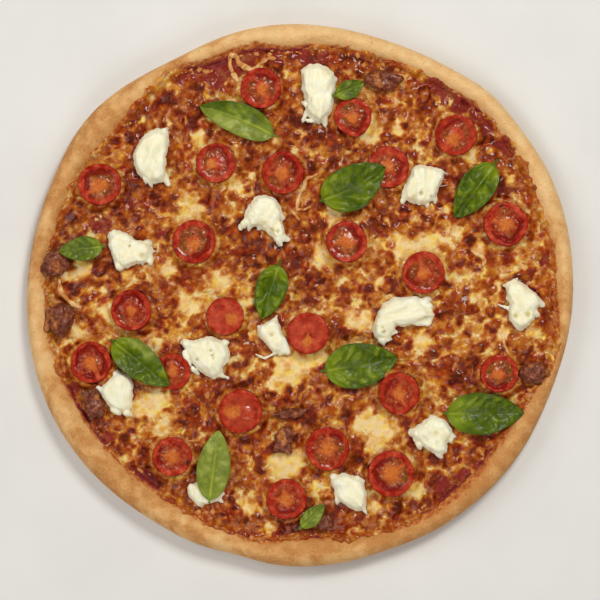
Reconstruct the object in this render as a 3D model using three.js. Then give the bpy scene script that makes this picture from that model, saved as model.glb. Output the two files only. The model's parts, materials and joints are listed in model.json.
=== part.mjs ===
/**
 * A margherita pizza, twelve inches across, whole and uncut, as it leaves the kitchen.
 *
 * A disc of baked dough with a raised rim carries a thin bed of tomato sauce and a blistered sheet of
 * melted cheese. Browned pieces of meat and halved cherry tomatoes, cut side up, were baked in the cheese.
 * Torn fresh mozzarella and basil leaves were dropped on it afterwards.
 *
 * Millimetres, +Z up. The origin is under the middle of the base, on the surface that the pizza lies on.
 * Bearings are in degrees, anticlockwise from +X.
 */
import * as THREE from 'three';
import { ImprovedNoise } from 'three/addons/math/ImprovedNoise.js';
import { mergeVertices } from 'three/addons/utils/BufferGeometryUtils.js';

// ---- Driving dimensions ----

const MEAN_RADIUS = 152.7; // of the rim, between its bulges
const RIM_HEIGHT = 15;
const RIM_WIDTH = 11.6; // from the outer edge to the foot of the inner slope
const RIM_CREST = 0.48; // place of the top of the rim, as a share of its width from the outer edge
const RIM_WIDEST = 0.45; // height of the outermost point, as a share of the rim's
const RIM_UNEVENNESS = 0.15; // share by which the rim's height swells and sinks
const BED_HEIGHT = 6.5; // dough under the sauce
const SAUCE_THICKNESS = 1.2;
const CHEESE_THICKNESS = 3;
const CHEESE_LIP = 0.9; // thickness of the melted sheet at its edge
const CHEESE_THINNING = 5; // over which the sheet thins towards its edge
const CHEESE_RAGGEDNESS = 0.8; // of that edge
const LEAF_THICKNESS = 0.6;
const GAP = 0.3; // between pieces that touch
const SAUCE_BOTTOM = BED_HEIGHT + GAP;
const CHEESE_BOTTOM = SAUCE_BOTTOM + SAUCE_THICKNESS + GAP;
const CHEESE_LEVEL = CHEESE_BOTTOM + CHEESE_THICKNESS;

// How finely the pieces are divided.
const RIM_SEGMENTS = 72;
const TOMATO_SEGMENTS = 12;
const LUMP_SEGMENTS = 20;
const MEAT_SEGMENTS = 10;
const CHEESE_CELLS = 42; // across the melted sheet
const CLOSE = 1e-4; // between two corners that are one

// Where the hand-stretched dough is out of round: [bearing, by how much, over how many degrees].
const RIM_BULGES = [[26, 2.9, 22], [47, 1.8, 7], [73, -1.9, 16], [117, -2.7, 12], [140, 2.6, 12],
  [204, 2.2, 22], [238, -1.4, 12], [256, -2.2, 7], [289, -1.1, 9], [339, -1.6, 12]];
// Where the rim is wider or narrower than usual.
const RIM_WIDENINGS = [[22, 2.6, 9], [93, 3, 5], [119, -4.5, 6], [139, 5.5, 12], [225, 4.8, 40],
  [258, -2.5, 5], [273, 4, 9], [325, 3, 16], [346, -5, 9]];
// The strip of sauce that the cheese leaves bare inside the rim, and where it widens.
const BARE_SAUCE = 1;
const SAUCE_SHY = 0.5; // between the sauce and the foot of the rim
const BARE_SAUCE_PATCHES = [[12, 2, 6], [50, 4, 5], [78, 3.5, 8], [92, 5, 9], [110, 4, 8], [205, 3, 6],
  [222, 3, 7], [231, 5, 5], [272, 2.5, 8], [307, 6, 5], [325, 3, 6]];

// Cherry tomato halves: [x, y, radius].
const TOMATOES = [
  [-21.5, 115.5, 11.7], [29.5, 99.5, 11.3], [87, 89.5, 11.7], [-47.5, 73, 11.3], [-9.5, 68.5, 12.2],
  [49, 71, 12], [-111.5, 61, 12.4], [114.5, 39.5, 12.6], [-59, 29, 12.3], [25.5, 29, 12], [68.5, 12, 12],
  [-94, -8.5, 11.5], [-41.5, -12.5, 11.1], [4.5, -22, 12], [-117, -38.5, 12], [-71.5, -43, 10.5],
  [55.5, -54.5, 12], [111, -44.5, 10.9], [-33, -65, 12.4], [15, -86, 12.3], [51.5, -100, 13],
  [-72, -91, 11.4], [-8, -114, 11.8],
];
const TOMATO_DEPTH = 0.62; // of a half, as a share of its radius
const TOMATO_TILT = 5; // degrees, at most
const SEED_CHAMBERS = 3;
const CHAMBER_DEPTH = 1.2;
const CHAMBER_RING = 0.62; // how far out the chambers are deepest, as a share of the radius
const TOMATO_CLEARANCE = 2.5; // of the dish that a half lies in, all round it

// Torn mozzarella: { at, height, reach: how far the lump comes out at each bearing, evenly spaced from +X }.
const MOZZARELLA = [
  { at: [-83.5, 77], height: 9, reach: [8.2, 11.5, 18, 14.8, 11.2, 9.8, 10, 10, 11.8, 14.8, 15.5, 9.8] },
  { at: [10.5, 112], height: 10, reach: [8.2, 10.8, 15.2, 17.2, 18, 10.8, 8, 8, 13, 16.5, 12.5, 9] },
  { at: [70, 61.5], height: 8, reach: [8, 13, 10.8, 11, 12.2, 10, 11.2, 15, 11.5, 11, 9, 8.2] },
  { at: [-18, 46], height: 8.5, reach: [8, 7.5, 8.5, 9.2, 11, 10.5, 13.2, 13.8, 9, 12, 19.2, 8.8] },
  { at: [-97, 25], height: 8, reach: [15.2, 10, 7.2, 9.5, 13.2, 12, 8.8, 8.8, 10.2, 9.8, 9, 12.8] },
  { at: [50, -11.5], height: 9, reach: [25.5, 20, 11.8, 8.5, 6.8, 5.8, 7, 10.2, 15.5, 14, 6.2, 10.5] },
  { at: [123.5, -5], height: 9, reach: [11, 11, 9.2, 12, 15, 9, 5.8, 7.8, 11.5, 14.5, 12, 9] },
  { at: [-52, -34], height: 8, reach: [12.8, 13, 11, 10.8, 10, 15.2, 11, 9, 9, 12, 14.5, 10.8] },
  { at: [-15.5, -22.5], height: 7, reach: [5.8, 6, 7.5, 9.2, 7.2, 9, 7.5, 5.8, 6.2, 9, 12.2, 8.2] },
  { at: [-101, -54], height: 7, reach: [7.5, 9, 10.5, 11, 9, 9.5, 11.2, 9.2, 10, 11.2, 12.2, 8] },
  { at: [74.5, -77.5], height: 8, reach: [11.5, 10, 10, 10.2, 8.8, 9, 14.2, 9, 9, 10.5, 14, 8.8] },
  { at: [27.5, -108.5], height: 8, reach: [8.8, 8.5, 7.2, 8, 9.5, 11.8, 8.5, 8.8, 8.5, 10, 15.2, 11] },
  { at: [-54, -111], height: 6, reach: [12, 6, 5, 6.5, 8, 8.5, 8.5, 7.5, 6.8, 6.5, 6.5, 8.5] },
];

// Browned meat: { at, size: [length, width, height], bearing of the length, lean: degrees, outer side up }.
const MEAT = [
  { at: [46, 120], size: [21, 14, 7], bearing: -10, lean: 0 },
  { at: [-137, 18], size: [19, 17, 6], bearing: 90, lean: 22 },
  { at: [-134, -14], size: [24, 16, 6], bearing: 84, lean: 22 },
  { at: [-115, -62], size: [18, 12, 6], bearing: -60, lean: 0 },
  { at: [-5.5, -66.5], size: [20, 8, 4.5], bearing: 5, lean: 0 },
  { at: [-9, -81], size: [18, 13, 5.5], bearing: 80, lean: 0 },
  { at: [130.5, -44], size: [18, 14, 6], bearing: 20, lean: 14 },
  { at: [14, -127], size: [12, 11, 5], bearing: 0, lean: 0 },
];
const PRESSED = 3; // how far the cheese is pressed flat beyond a lump or a piece of meat
const UNDER_LUMP = CHEESE_LEVEL - 0.2; // height of the cheese where a lump presses on it
const UNDER_MEAT = CHEESE_LEVEL - 0.8;
const SHRIVELLED = 0.14; // share by which browned meat has shrunk, at most

// Blisters of the melted cheese: { height, across: from one to the next, layer of the noise }.
const BLISTERS = [{ height: 1.5, across: 13, layer: 5 }, { height: 1.1, across: 7.1, layer: 9 }];
const CURDS = { height: 0.3, across: 5 }; // of torn mozzarella; the height is a share of the lump's

// Basil: { base and tip of the blade, width, bend: of the midrib to its left, stalk: its length, cup: how far
// the edges stand above the midrib, rise: of the tip above the base, roll about the midrib in degrees }.
const BASIL = [
  { base: [-15, 89.5], tip: [-56, 105.5], width: 18, bend: -1.7, stalk: 3, cup: 3, rise: 1, roll: -6 },
  { base: [20, 111.5], tip: [35.5, 118.5], width: 10.5, bend: 0, stalk: 2, cup: 1.5, rise: -1, roll: 12 },
  { base: [12.5, 53], tip: [47, 72], width: 24.5, bend: -2, stalk: 2, cup: 2, rise: 5, roll: 0 },
  { base: [108.5, 72], tip: [85, 44.5], width: 19.5, bend: -1, stalk: 4, cup: 3, rise: 1, roll: 5 },
  { base: [-110.5, 27], tip: [-134.5, 24], width: 13.5, bend: 0, stalk: 2, cup: 1.5, rise: 3, roll: 0 },
  { base: [-12, 15.5], tip: [-21.5, -14], width: 18.5, bend: 0, stalk: 4, cup: 3, rise: 1.5, roll: 0 },
  { base: [-103.5, -25], tip: [-72, -51], width: 19, bend: 0.5, stalk: 2, cup: 2.5, rise: 4, roll: -4 },
  { base: [14, -42.5], tip: [54.5, -35.5], width: 25.5, bend: 0, stalk: 3, cup: 2.5, rise: 1, roll: 4 },
  { base: [82, -66.5], tip: [125, -66], width: 23.5, bend: 0, stalk: 2, cup: 2.5, rise: 0, roll: 4 },
  { base: [-51.5, -114], tip: [-46, -75.5], width: 19, bend: 0.5, stalk: 2, cup: 2.5, rise: -5, roll: 0 },
  { base: [1.5, -130], tip: [13, -118], width: 8.5, bend: 0, stalk: 2, cup: 1, rise: 1, roll: 0 },
];
const SMALL_LEAF = 12; // width up to which a leaf needs fewer triangles
const STALK_WIDTH = 1.8;
const LEAF_ARCH = 0.06; // of the midrib, as a share of the blade's length
const LEAF_WAVE = 0.8; // of the margins

// ---- Materials ----

const finish = (color, roughness) => new THREE.MeshStandardMaterial({ color, roughness, metalness: 0 });
const DOUGH = finish(0xdcab6d, 0.75);
const SAUCE = finish(0x7d1f1c, 0.35);
const MELTED_CHEESE = finish(0xc67a35, 0.4);
const TOMATO = finish(0xb52c1e, 0.3);
const FRESH_CHEESE = finish(0xf7f3dc, 0.5);
const BROWNED_MEAT = finish(0x6b3526, 0.5);
const BASIL_LEAF = finish(0x55862a, 0.45);

// ---- Rules that the pieces share ----

const waves = new ImprovedNoise();

/** A repeatable run of numbers between 0 and 1. */
function draws(seed) {
  let state = seed;
  return () => {
    state = (state * 1664525 + 1013904223) % 4294967296;
    return state / 4294967296;
  };
}

/** A measure that runs round the pizza: the usual value, with a smooth swell at each named bearing. */
function around(usual, swells) {
  return (angle) => swells.reduce((sum, [bearing, by, spread]) => {
    const off = THREE.MathUtils.euclideanModulo(THREE.MathUtils.radToDeg(angle) - bearing + 180, 360) - 180;
    return sum + by * Math.exp(-((off / spread) ** 2));
  }, usual);
}

const rimEdge = around(MEAN_RADIUS, RIM_BULGES);
const rimWidth = around(RIM_WIDTH, RIM_WIDENINGS);
const bareSauce = around(BARE_SAUCE, BARE_SAUCE_PATCHES);
const rimFoot = (angle) => rimEdge(angle) - rimWidth(angle);
const sauceEdge = (angle) => rimFoot(angle) - SAUCE_SHY;

/** Noise between -1 and 1 that runs round the pizza, with about `waviness` waves to a radian. */
const noiseRound = (angle, waviness, layer) => (
  waves.noise(waviness * Math.cos(angle), waviness * Math.sin(angle), layer));

const cheeseEdge = (angle) => (
  sauceEdge(angle) - bareSauce(angle) - CHEESE_RAGGEDNESS * noiseRound(angle, 14, 3));

/** Moves every vertex of a geometry to where `move` sends it. */
function reshape(geometry, move) {
  const { position } = geometry.attributes;
  const point = new THREE.Vector3();
  for (let i = 0; i < position.count; i++) {
    move(point.fromBufferAttribute(position, i));
    position.setXYZ(i, point.x, point.y, point.z);
  }
  return geometry;
}

/** A lathe about +Z, from [radius, height] pairs that start and end on the axis. */
function turned(profile, segments) {
  const points = profile.map(([radius, height]) => new THREE.Vector2(radius, height));
  return new THREE.LatheGeometry(points, segments).rotateX(Math.PI / 2);
}

/** Gives each radius of a lathe a new value by its bearing. */
const restretch = (geometry, radiusAt) => reshape(geometry, (p) => {
  const angle = Math.atan2(p.y, p.x);
  const radius = radiusAt(Math.hypot(p.x, p.y), angle);
  p.x = radius * Math.cos(angle);
  p.y = radius * Math.sin(angle);
});

/** The border of a plane of across x along cells, as vertex numbers, anticlockwise from above. */
function borderOf(across, along) {
  const at = (column, row) => column + row * (across + 1);
  const border = [];
  for (let column = 0; column < across; column++) border.push(at(column, along));
  for (let row = along; row > 0; row--) border.push(at(across, row));
  for (let column = across; column > 0; column--) border.push(at(column, 0));
  for (let row = 0; row < along; row++) border.push(at(0, row));
  return border;
}

/** Closes a plane into a solid: `under` holds the points and triangles below it, `rim` its border. */
function closed(plane, border, under, rim) {
  const top = Array.from(plane.attributes.position.array);
  const first = top.length / 3;
  const triangles = Array.from(plane.index.array);
  triangles.push(...under.triangles.map((i) => i + first));
  border.forEach((a, i) => {
    const next = (i + 1) % border.length;
    const [b, belowA, belowB] = [border[next], first + rim[i], first + rim[next]];
    triangles.push(a, belowA, belowB, a, belowB, b);
  });
  return new THREE.BufferGeometry()
    .setAttribute('position', new THREE.Float32BufferAttribute([...top, ...under.points], 3))
    .setIndex(triangles);
}

/** A solid of one thickness under a plane, with both faces split into triangles alike. */
function sheet(plane, across, along, thickness) {
  const points = Array.from(plane.attributes.position.array).map((v, i) => (i % 3 === 2 ? v - thickness : v));
  const triangles = Array.from(plane.index.array).reverse();
  const border = borderOf(across, along);
  return closed(plane, border, { points, triangles }, border);
}

/** A solid between a round plane and a flat floor. */
function slab(plane, cells, floor) {
  const border = borderOf(cells, cells);
  const { position } = plane.attributes;
  const points = border.flatMap((i) => [position.getX(i), position.getY(i), floor]);
  const triangles = border.flatMap((_, i) => [border.length, (i + 1) % border.length, i]);
  return closed(plane, border, { points: [...points, 0, 0, floor], triangles }, border.map((_, i) => i));
}

/** Sends a square with corners at +-1 to a disc of radius 1, its rings to rings. */
function squareToDisc(p) {
  const ring = Math.max(Math.abs(p.x), Math.abs(p.y));
  if (ring === 0) return;
  const eighth = Math.PI / 4;
  const angle = Math.abs(p.x) >= Math.abs(p.y)
    ? (p.x > 0 ? 0 : Math.PI) + eighth * (p.y / p.x)
    : (p.y > 0 ? 2 : -2) * eighth - eighth * (p.x / p.y);
  p.x = ring * Math.cos(angle);
  p.y = ring * Math.sin(angle);
}

const numbered = (name, index) => `${name}_${String(index + 1).padStart(2, '0')}`;

function piece(name, geometry, material) {
  geometry.computeVertexNormals();
  const mesh = new THREE.Mesh(geometry, material);
  mesh.name = name;
  return mesh;
}

// ---- Settling: a piece comes down on what lies under it, and stops just clear of it ----

const UP = new THREE.Vector3(0, 0, 1);
const DOWN = new THREE.Vector3(0, 0, -1);
const SKY = 100; // above everything
const feeler = new THREE.Raycaster();

/** A mesh with its box and with the points at which it could touch another: its corners and face middles. */
function placed(mesh) {
  mesh.updateMatrixWorld();
  const { position } = mesh.geometry.attributes;
  const corners = Array.from({ length: position.count }, (_, i) => (
    new THREE.Vector3().fromBufferAttribute(position, i).applyMatrix4(mesh.matrixWorld)));
  const { array } = mesh.geometry.index;
  const middles = Array.from({ length: array.length / 3 }, (_, i) => (
    [0, 1, 2].reduce((sum, j) => sum.add(corners[array[3 * i + j]]), new THREE.Vector3()).divideScalar(3)));
  return { mesh, box: new THREE.Box3().setFromPoints(corners), points: [...corners, ...middles] };
}

/** The height at which a ray up or down from far off first meets one of the meshes. */
function heightAt(point, direction, meshes) {
  feeler.set(new THREE.Vector3(point.x, point.y, -SKY * direction.z), direction);
  const [hit] = feeler.intersectObjects(meshes, false);
  return hit && hit.point.z;
}

/** Lowers or lifts a mesh until it is GAP above the placed pieces that it lies on. */
function settle(mesh, below) {
  const { box, points } = placed(mesh);
  box.expandByVector(new THREE.Vector3(1, 1, SKY));
  const near = below.filter((other) => box.intersectsBox(other.box));
  const nearMeshes = near.map((other) => other.mesh);
  const lifts = points.map((p) => heightAt(p, DOWN, nearMeshes) - p.z);
  for (const p of near.flatMap((other) => other.points).filter((q) => box.containsPoint(q))) {
    lifts.push(p.z - heightAt(p, UP, [mesh]));
  }
  mesh.position.z += Math.max(...lifts.filter(Number.isFinite)) + GAP;
  return mesh;
}

// ---- Dough ----

function crust() {
  const crest = RIM_WIDTH * RIM_CREST;
  const widest = RIM_HEIGHT * RIM_WIDEST;
  const floorRadius = MEAN_RADIUS - RIM_WIDTH;
  const outside = [-65, -35, 0, 30, 58, 82].map((degrees) => {
    const angle = THREE.MathUtils.degToRad(degrees);
    const reach = angle < 0 ? widest : RIM_HEIGHT - widest;
    return [MEAN_RADIUS - crest * (1 - Math.cos(angle)), widest + reach * Math.sin(angle)];
  });
  const inside = [0.18, 0.43, 0.71, 1].map((share) => {
    const drop = THREE.MathUtils.smootherstep(share, -0.1, 1.15);
    return [MEAN_RADIUS - THREE.MathUtils.lerp(crest, RIM_WIDTH, share),
      THREE.MathUtils.lerp(RIM_HEIGHT, BED_HEIGHT, drop)];
  });
  const base = MEAN_RADIUS - crest * 1.1; // radius of the flat that it lies on
  const bed = floorRadius - 1.5; // radius of the flat under the sauce
  const profile = [[0, 0], [base, 0], ...outside, ...inside, [bed, BED_HEIGHT], [0, BED_HEIGHT]];
  const round = restretch(turned(profile, RIM_SEGMENTS), (radius, angle) => (radius > floorRadius
    ? rimEdge(angle) - ((MEAN_RADIUS - radius) / RIM_WIDTH) * rimWidth(angle)
    : (radius / floorRadius) * rimFoot(angle)));
  // The rim stands a little higher where it is wide, and unevenly all the way round.
  return piece('crust', reshape(round, (p) => {
    const angle = Math.atan2(p.y, p.x);
    const swell = RIM_UNEVENNESS * noiseRound(angle, 5, 1);
    const wider = 0.35 * (rimWidth(angle) / RIM_WIDTH - 1);
    if (p.z > BED_HEIGHT) p.z = THREE.MathUtils.lerp(BED_HEIGHT, p.z, 1 + wider + swell);
  }), DOUGH);
}

// ---- Sauce and melted cheese ----

function sauce() {
  const top = SAUCE_BOTTOM + SAUCE_THICKNESS;
  const profile = [[0, SAUCE_BOTTOM], [1, SAUCE_BOTTOM], [0.99, top], [0, top]];
  const geometry = restretch(turned(profile, RIM_SEGMENTS), (share, angle) => share * sauceEdge(angle));
  return piece('sauce', geometry, SAUCE);
}

/** How far a lump comes out from its middle at an angle: smooth between its measured bearings. */
function reachOf({ reach }, angle) {
  const turn = THREE.MathUtils.euclideanModulo(angle / (2 * Math.PI), 1) * reach.length;
  const from = Math.floor(turn);
  const share = THREE.MathUtils.smoothstep(turn - from, 0, 1);
  return THREE.MathUtils.lerp(reach[from % reach.length], reach[(from + 1) % reach.length], share);
}

/** Height of a tomato's underside over its foot, at a distance from its middle. */
function tomatoUnderside(distance, radius) {
  const share = Math.min(1, distance / radius);
  return TOMATO_DEPTH * radius * (1 - Math.sqrt(1 - share * share));
}

/** Height of the melted cheese: blistered, dished under tomato halves, pressed flat under what is heavy. */
function cheeseTop(x, y) {
  const blistered = BLISTERS.reduce((sum, { height, across, layer }) => (
    sum + height * waves.noise(x / across, y / across, layer)), CHEESE_LEVEL);
  const tops = [blistered];
  for (const [tx, ty, radius] of TOMATOES) {
    const distance = Math.hypot(x - tx, y - ty);
    if (distance < radius + TOMATO_CLEARANCE) {
      const dish = tomatoUnderside(Math.max(0, distance - TOMATO_CLEARANCE), radius);
      tops.push(CHEESE_BOTTOM + CHEESE_LIP + dish);
    }
  }
  for (const lump of MOZZARELLA) {
    const [dx, dy] = [x - lump.at[0], y - lump.at[1]];
    if (Math.hypot(dx, dy) < reachOf(lump, Math.atan2(dy, dx)) + PRESSED) tops.push(UNDER_LUMP);
  }
  for (const { at, size } of MEAT) {
    if (Math.hypot(x - at[0], y - at[1]) < size[0] / 2 + PRESSED) tops.push(UNDER_MEAT);
  }
  return Math.max(Math.min(...tops), CHEESE_BOTTOM + CHEESE_LIP);
}

function cheese() {
  const plane = new THREE.PlaneGeometry(2, 2, CHEESE_CELLS, CHEESE_CELLS);
  reshape(plane, (p) => {
    squareToDisc(p);
    const edge = cheeseEdge(Math.atan2(p.y, p.x));
    const inwards = (1 - Math.hypot(p.x, p.y)) * edge;
    p.x *= edge;
    p.y *= edge;
    const fade = THREE.MathUtils.smoothstep(inwards, 0, CHEESE_THINNING);
    p.z = THREE.MathUtils.lerp(CHEESE_BOTTOM + CHEESE_LIP, cheeseTop(p.x, p.y), fade);
  });
  return piece('cheese', slab(plane, CHEESE_CELLS, CHEESE_BOTTOM), MELTED_CHEESE);
}

// ---- Toppings ----

/** The lathe with its seam and its poles closed, so that every corner is one vertex. */
function whole(lathe) {
  lathe.deleteAttribute('normal');
  lathe.deleteAttribute('uv');
  return mergeVertices(lathe, CLOSE);
}

function tomatoHalf([x, y, radius], index, random) {
  const depth = TOMATO_DEPTH * radius;
  const chambers = CHAMBER_RING * radius;
  const profile = [[0, 0], [0.4 * radius, 0], [0.78 * radius, 0.38 * depth], [radius, 0.92 * depth],
    [0.88 * radius, depth], [chambers, depth], [0.24 * radius, 0.96 * depth], [0, 0.98 * depth]];
  const geometry = reshape(whole(turned(profile, TOMATO_SEGMENTS)), (p) => {
    const inChambers = Math.abs(Math.hypot(p.x, p.y) - chambers) < CLOSE && p.z > depth / 2;
    if (inChambers) p.z -= CHAMBER_DEPTH * (0.5 + 0.5 * Math.cos(SEED_CHAMBERS * Math.atan2(p.y, p.x)));
  });
  const mesh = piece(numbered('tomato', index), geometry, TOMATO);
  const tilt = THREE.MathUtils.degToRad(TOMATO_TILT);
  mesh.position.set(x, y, 0);
  mesh.rotation.set(tilt * (2 * random() - 1), tilt * (2 * random() - 1), 2 * Math.PI * random());
  return mesh;
}

// Half of the section of a torn lump, as shares of its reach and of its height.
const TORN_SECTION = [[0, 0], [0.9, 0], [1, 0.28], [0.8, 0.82], [0.42, 1], [0, 0.92]];

function mozzarellaLump(lump, index) {
  const geometry = whole(turned(TORN_SECTION, LUMP_SEGMENTS));
  restretch(geometry, (share, angle) => share * reachOf(lump, angle));
  reshape(geometry, (p) => {
    const curd = CURDS.height * waves.noise(p.x / CURDS.across, p.y / CURDS.across, index + 0.5);
    p.z *= lump.height * (0.9 + curd);
  });
  const mesh = piece(numbered('mozzarella', index), geometry, FRESH_CHEESE);
  mesh.position.set(lump.at[0], lump.at[1], 0);
  return mesh;
}

// Half of the section of a piece of meat, as shares of its half width and of its height.
const MEAT_SECTION = [[0, 0], [0.82, 0], [1, 0.35], [0.78, 0.85], [0.4, 1], [0, 0.96]];

function meatPiece({ at, size, bearing, lean }, index, random) {
  const geometry = reshape(whole(turned(MEAT_SECTION, MEAT_SEGMENTS)), (p) => {
    const shrivel = 1 - SHRIVELLED + SHRIVELLED * random();
    p.x *= 0.5 * size[0] * shrivel;
    p.y *= 0.5 * size[1] * shrivel;
    p.z *= size[2] * shrivel;
  });
  const mesh = piece(numbered('browned_meat', index), geometry, BROWNED_MEAT);
  mesh.position.set(at[0], at[1], 0);
  mesh.rotation.z = THREE.MathUtils.degToRad(bearing);
  mesh.rotateOnWorldAxis(new THREE.Vector3(at[1], -at[0], 0).normalize(), THREE.MathUtils.degToRad(lean));
  return mesh;
}

/** Half the width of a basil blade, as a share of its widest, at a share of its length from the stalk. */
function bladeOutline(along) {
  const [fromStalk, toTip] = [0.55, 0.75]; // how quickly it widens and how bluntly it ends
  const peak = fromStalk / (fromStalk + toTip);
  return (along / peak) ** fromStalk * ((1 - along) / (1 - peak)) ** toTip;
}

function basilLeaf({ base, tip, width, bend, stalk, cup, rise, roll }, index) {
  const length = Math.hypot(tip[0] - base[0], tip[1] - base[1]);
  const [along, across] = width > SMALL_LEAF ? [8, 4] : [7, 2]; // cells
  const height = LEAF_ARCH * length;
  const plane = reshape(new THREE.PlaneGeometry(1, 2, along, across), (p) => {
    const column = Math.round((p.x + 0.5) * along); // the first is the stalk, the next starts the blade
    const share = Math.max(0, column - 1) / (along - 1);
    const side = p.y;
    const half = Math.max(STALK_WIDTH / 2, 0.5 * width * bladeOutline(share));
    const wave = LEAF_WAVE * Math.sin(10 * share + index) * side * side;
    const raised = (cup * Math.abs(side) ** 1.4 + wave) * bladeOutline(share);
    const arch = Math.sin(Math.PI * share);
    p.set(column === 0 ? -stalk : length * share, half * side + bend * arch, height * arch + raised);
  });
  const mesh = piece(numbered('basil', index), sheet(plane, along, across, LEAF_THICKNESS), BASIL_LEAF);
  mesh.position.set(base[0], base[1], 0);
  mesh.rotation.set(THREE.MathUtils.degToRad(roll), -Math.asin(rise / length),
    Math.atan2(tip[1] - base[1], tip[0] - base[0]), 'ZYX');
  return mesh;
}

// ---- The pizza, in the order in which it is made ----

const random = draws(12);
const pizza = new THREE.Group();
const laid = [];

function lay(mesh) {
  pizza.add(mesh);
  laid.push(placed(mesh));
}

const dough = crust();
lay(dough);
lay(sauce());
lay(cheese());
MEAT.forEach((item, index) => lay(settle(meatPiece(item, index, random), laid)));
TOMATOES.forEach((item, index) => lay(settle(tomatoHalf(item, index, random), laid)));
MOZZARELLA.forEach((item, index) => lay(settle(mozzarellaLump(item, index), laid)));
BASIL.forEach((item, index) => lay(settle(basilLeaf(item, index), laid)));

// The rim isn't quite round, so the pizza is moved until the middle of its outline is on the axis.
const middle = new THREE.Box3().setFromObject(dough).getCenter(new THREE.Vector3());
pizza.position.set(-middle.x, -middle.y, 0);

const root = new THREE.Group();
root.add(pizza);

export default root;
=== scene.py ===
# %% [markdown]
# # Dressing a margherita pizza
#
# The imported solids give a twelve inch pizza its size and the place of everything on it: dough, sauce, a melted
# sheet of cheese, tomato halves, torn mozzarella, browned meat and basil. This lesson makes each of them look
# cooked. The solids stay where they are, and every new piece is fitted to the one that it stands for.
#
# Food has two kinds of detail. What is as large as a blister is real relief in the mesh, and what is as fine as
# a pore is left to the material. So most pieces carry soft masks as attributes, such as "browned" or "gel", that
# the relief and the colour both come from. A hollow is then always where its dark colour is.

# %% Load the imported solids
import json
import math

import bpy
import numpy as np
from mathutils import Matrix, Vector
from mathutils.bvhtree import BVHTree

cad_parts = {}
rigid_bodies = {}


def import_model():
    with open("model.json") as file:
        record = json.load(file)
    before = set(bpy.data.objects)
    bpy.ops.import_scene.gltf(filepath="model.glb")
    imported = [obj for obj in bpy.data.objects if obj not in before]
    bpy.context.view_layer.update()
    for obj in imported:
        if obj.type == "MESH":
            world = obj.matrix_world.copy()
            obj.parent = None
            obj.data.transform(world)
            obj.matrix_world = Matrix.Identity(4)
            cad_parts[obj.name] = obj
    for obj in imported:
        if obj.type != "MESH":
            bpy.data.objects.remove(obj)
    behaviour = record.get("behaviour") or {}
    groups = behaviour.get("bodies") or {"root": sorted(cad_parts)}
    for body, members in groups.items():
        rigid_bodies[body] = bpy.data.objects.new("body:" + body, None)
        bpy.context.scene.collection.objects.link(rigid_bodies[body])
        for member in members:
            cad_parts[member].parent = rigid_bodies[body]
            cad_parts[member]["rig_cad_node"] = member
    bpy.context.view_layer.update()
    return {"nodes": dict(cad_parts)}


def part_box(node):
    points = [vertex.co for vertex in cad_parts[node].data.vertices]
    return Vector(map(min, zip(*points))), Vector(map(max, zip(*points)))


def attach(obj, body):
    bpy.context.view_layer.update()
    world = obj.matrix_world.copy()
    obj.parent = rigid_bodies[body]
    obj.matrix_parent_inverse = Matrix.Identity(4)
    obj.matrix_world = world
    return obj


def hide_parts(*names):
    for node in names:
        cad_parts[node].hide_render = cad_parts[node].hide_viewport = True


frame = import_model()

MM = 0.001
SOLIDS = frame["nodes"]


# %% [markdown]
# ## Tools that every step uses
#
# Pieces are modelled with the same operators that the menus call, and an operator acts on all that is selected.
# So the first tools say what is selected, close the seams of a spun or joined mesh, and join pieces to one.

# %% Select, close and join
TOUCHING = 1e-6  # corners closer than this, in metres, are one corner


def nothing_selected():
    """Everything is deselected, because an operator acts on all that is selected."""
    if bpy.context.object and bpy.context.object.mode == "EDIT":
        bpy.ops.object.mode_set(mode="OBJECT")
    bpy.ops.object.select_all(action="DESELECT")


def select_only(piece):
    nothing_selected()
    piece.select_set(True)
    bpy.context.view_layer.objects.active = piece


def close_seams(piece):
    """Merges the corners that lie on each other, and turns every face outwards."""
    select_only(piece)
    bpy.ops.object.mode_set(mode="EDIT")
    bpy.ops.mesh.select_all(action="SELECT")
    bpy.ops.mesh.remove_doubles(threshold=TOUCHING)
    bpy.ops.mesh.normals_make_consistent(inside=False)
    bpy.ops.object.mode_set(mode="OBJECT")


def joined(pieces):
    """The pieces as one, which keeps the name of the first, with its place in its mesh."""
    nothing_selected()
    for piece in pieces:
        piece.select_set(True)
    bpy.context.view_layer.objects.active = pieces[0]
    bpy.ops.object.join()
    bpy.ops.object.transform_apply(location=True, rotation=True, scale=True)
    close_seams(bpy.context.object)
    return bpy.context.object


# %% [markdown]
# Relief is worked out for all corners of a mesh at once, as arrays. These tools read and write a mesh's corners,
# store a mask on it, and hand a finished piece over: its material, the body that it rides on and the solid that it
# stands for.

# %% Corners, masks and handing over


def points_of(piece):
    """The places of a mesh's corners, one row each, in metres."""
    places = np.empty(len(piece.data.vertices) * 3)
    piece.data.vertices.foreach_get("co", places)
    return places.reshape(-1, 3)


def move_points(piece, places):
    piece.data.vertices.foreach_set("co", np.asarray(places, float).ravel())
    piece.data.update()


def keep_mask(piece, name, values):
    """Stores one number for each corner, for the material to read."""
    mask = piece.data.attributes.new(name, "FLOAT", "POINT")
    mask.data.foreach_set("value", np.asarray(values, np.float32))


def triangles_of(piece):
    return sum(len(face.vertices) - 2 for face in piece.data.polygons)


def serve(piece, solids, material):
    """Hands a finished piece over: its finish, the body that it rides on and the solids that it stands for."""
    piece.data.polygons.foreach_set("use_smooth", [True] * len(piece.data.polygons))
    piece.data.update()
    piece.data.materials.clear()
    piece.data.materials.append(material)
    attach(piece, "root")
    if solids:
        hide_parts(*solids)
    print(f"{piece.name}: {triangles_of(piece)} triangles")


# %% [markdown]
# A topping has to lie on what carries it. Its height could be guessed, but a ray shot straight down finds it.
# The faces of the carrier go into a search tree once, and each ray then takes next to no time.

# %% Feel for the surface from above
SKY = 0.1  # above everything, in metres
DOWN = Vector((0, 0, -1))


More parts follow.
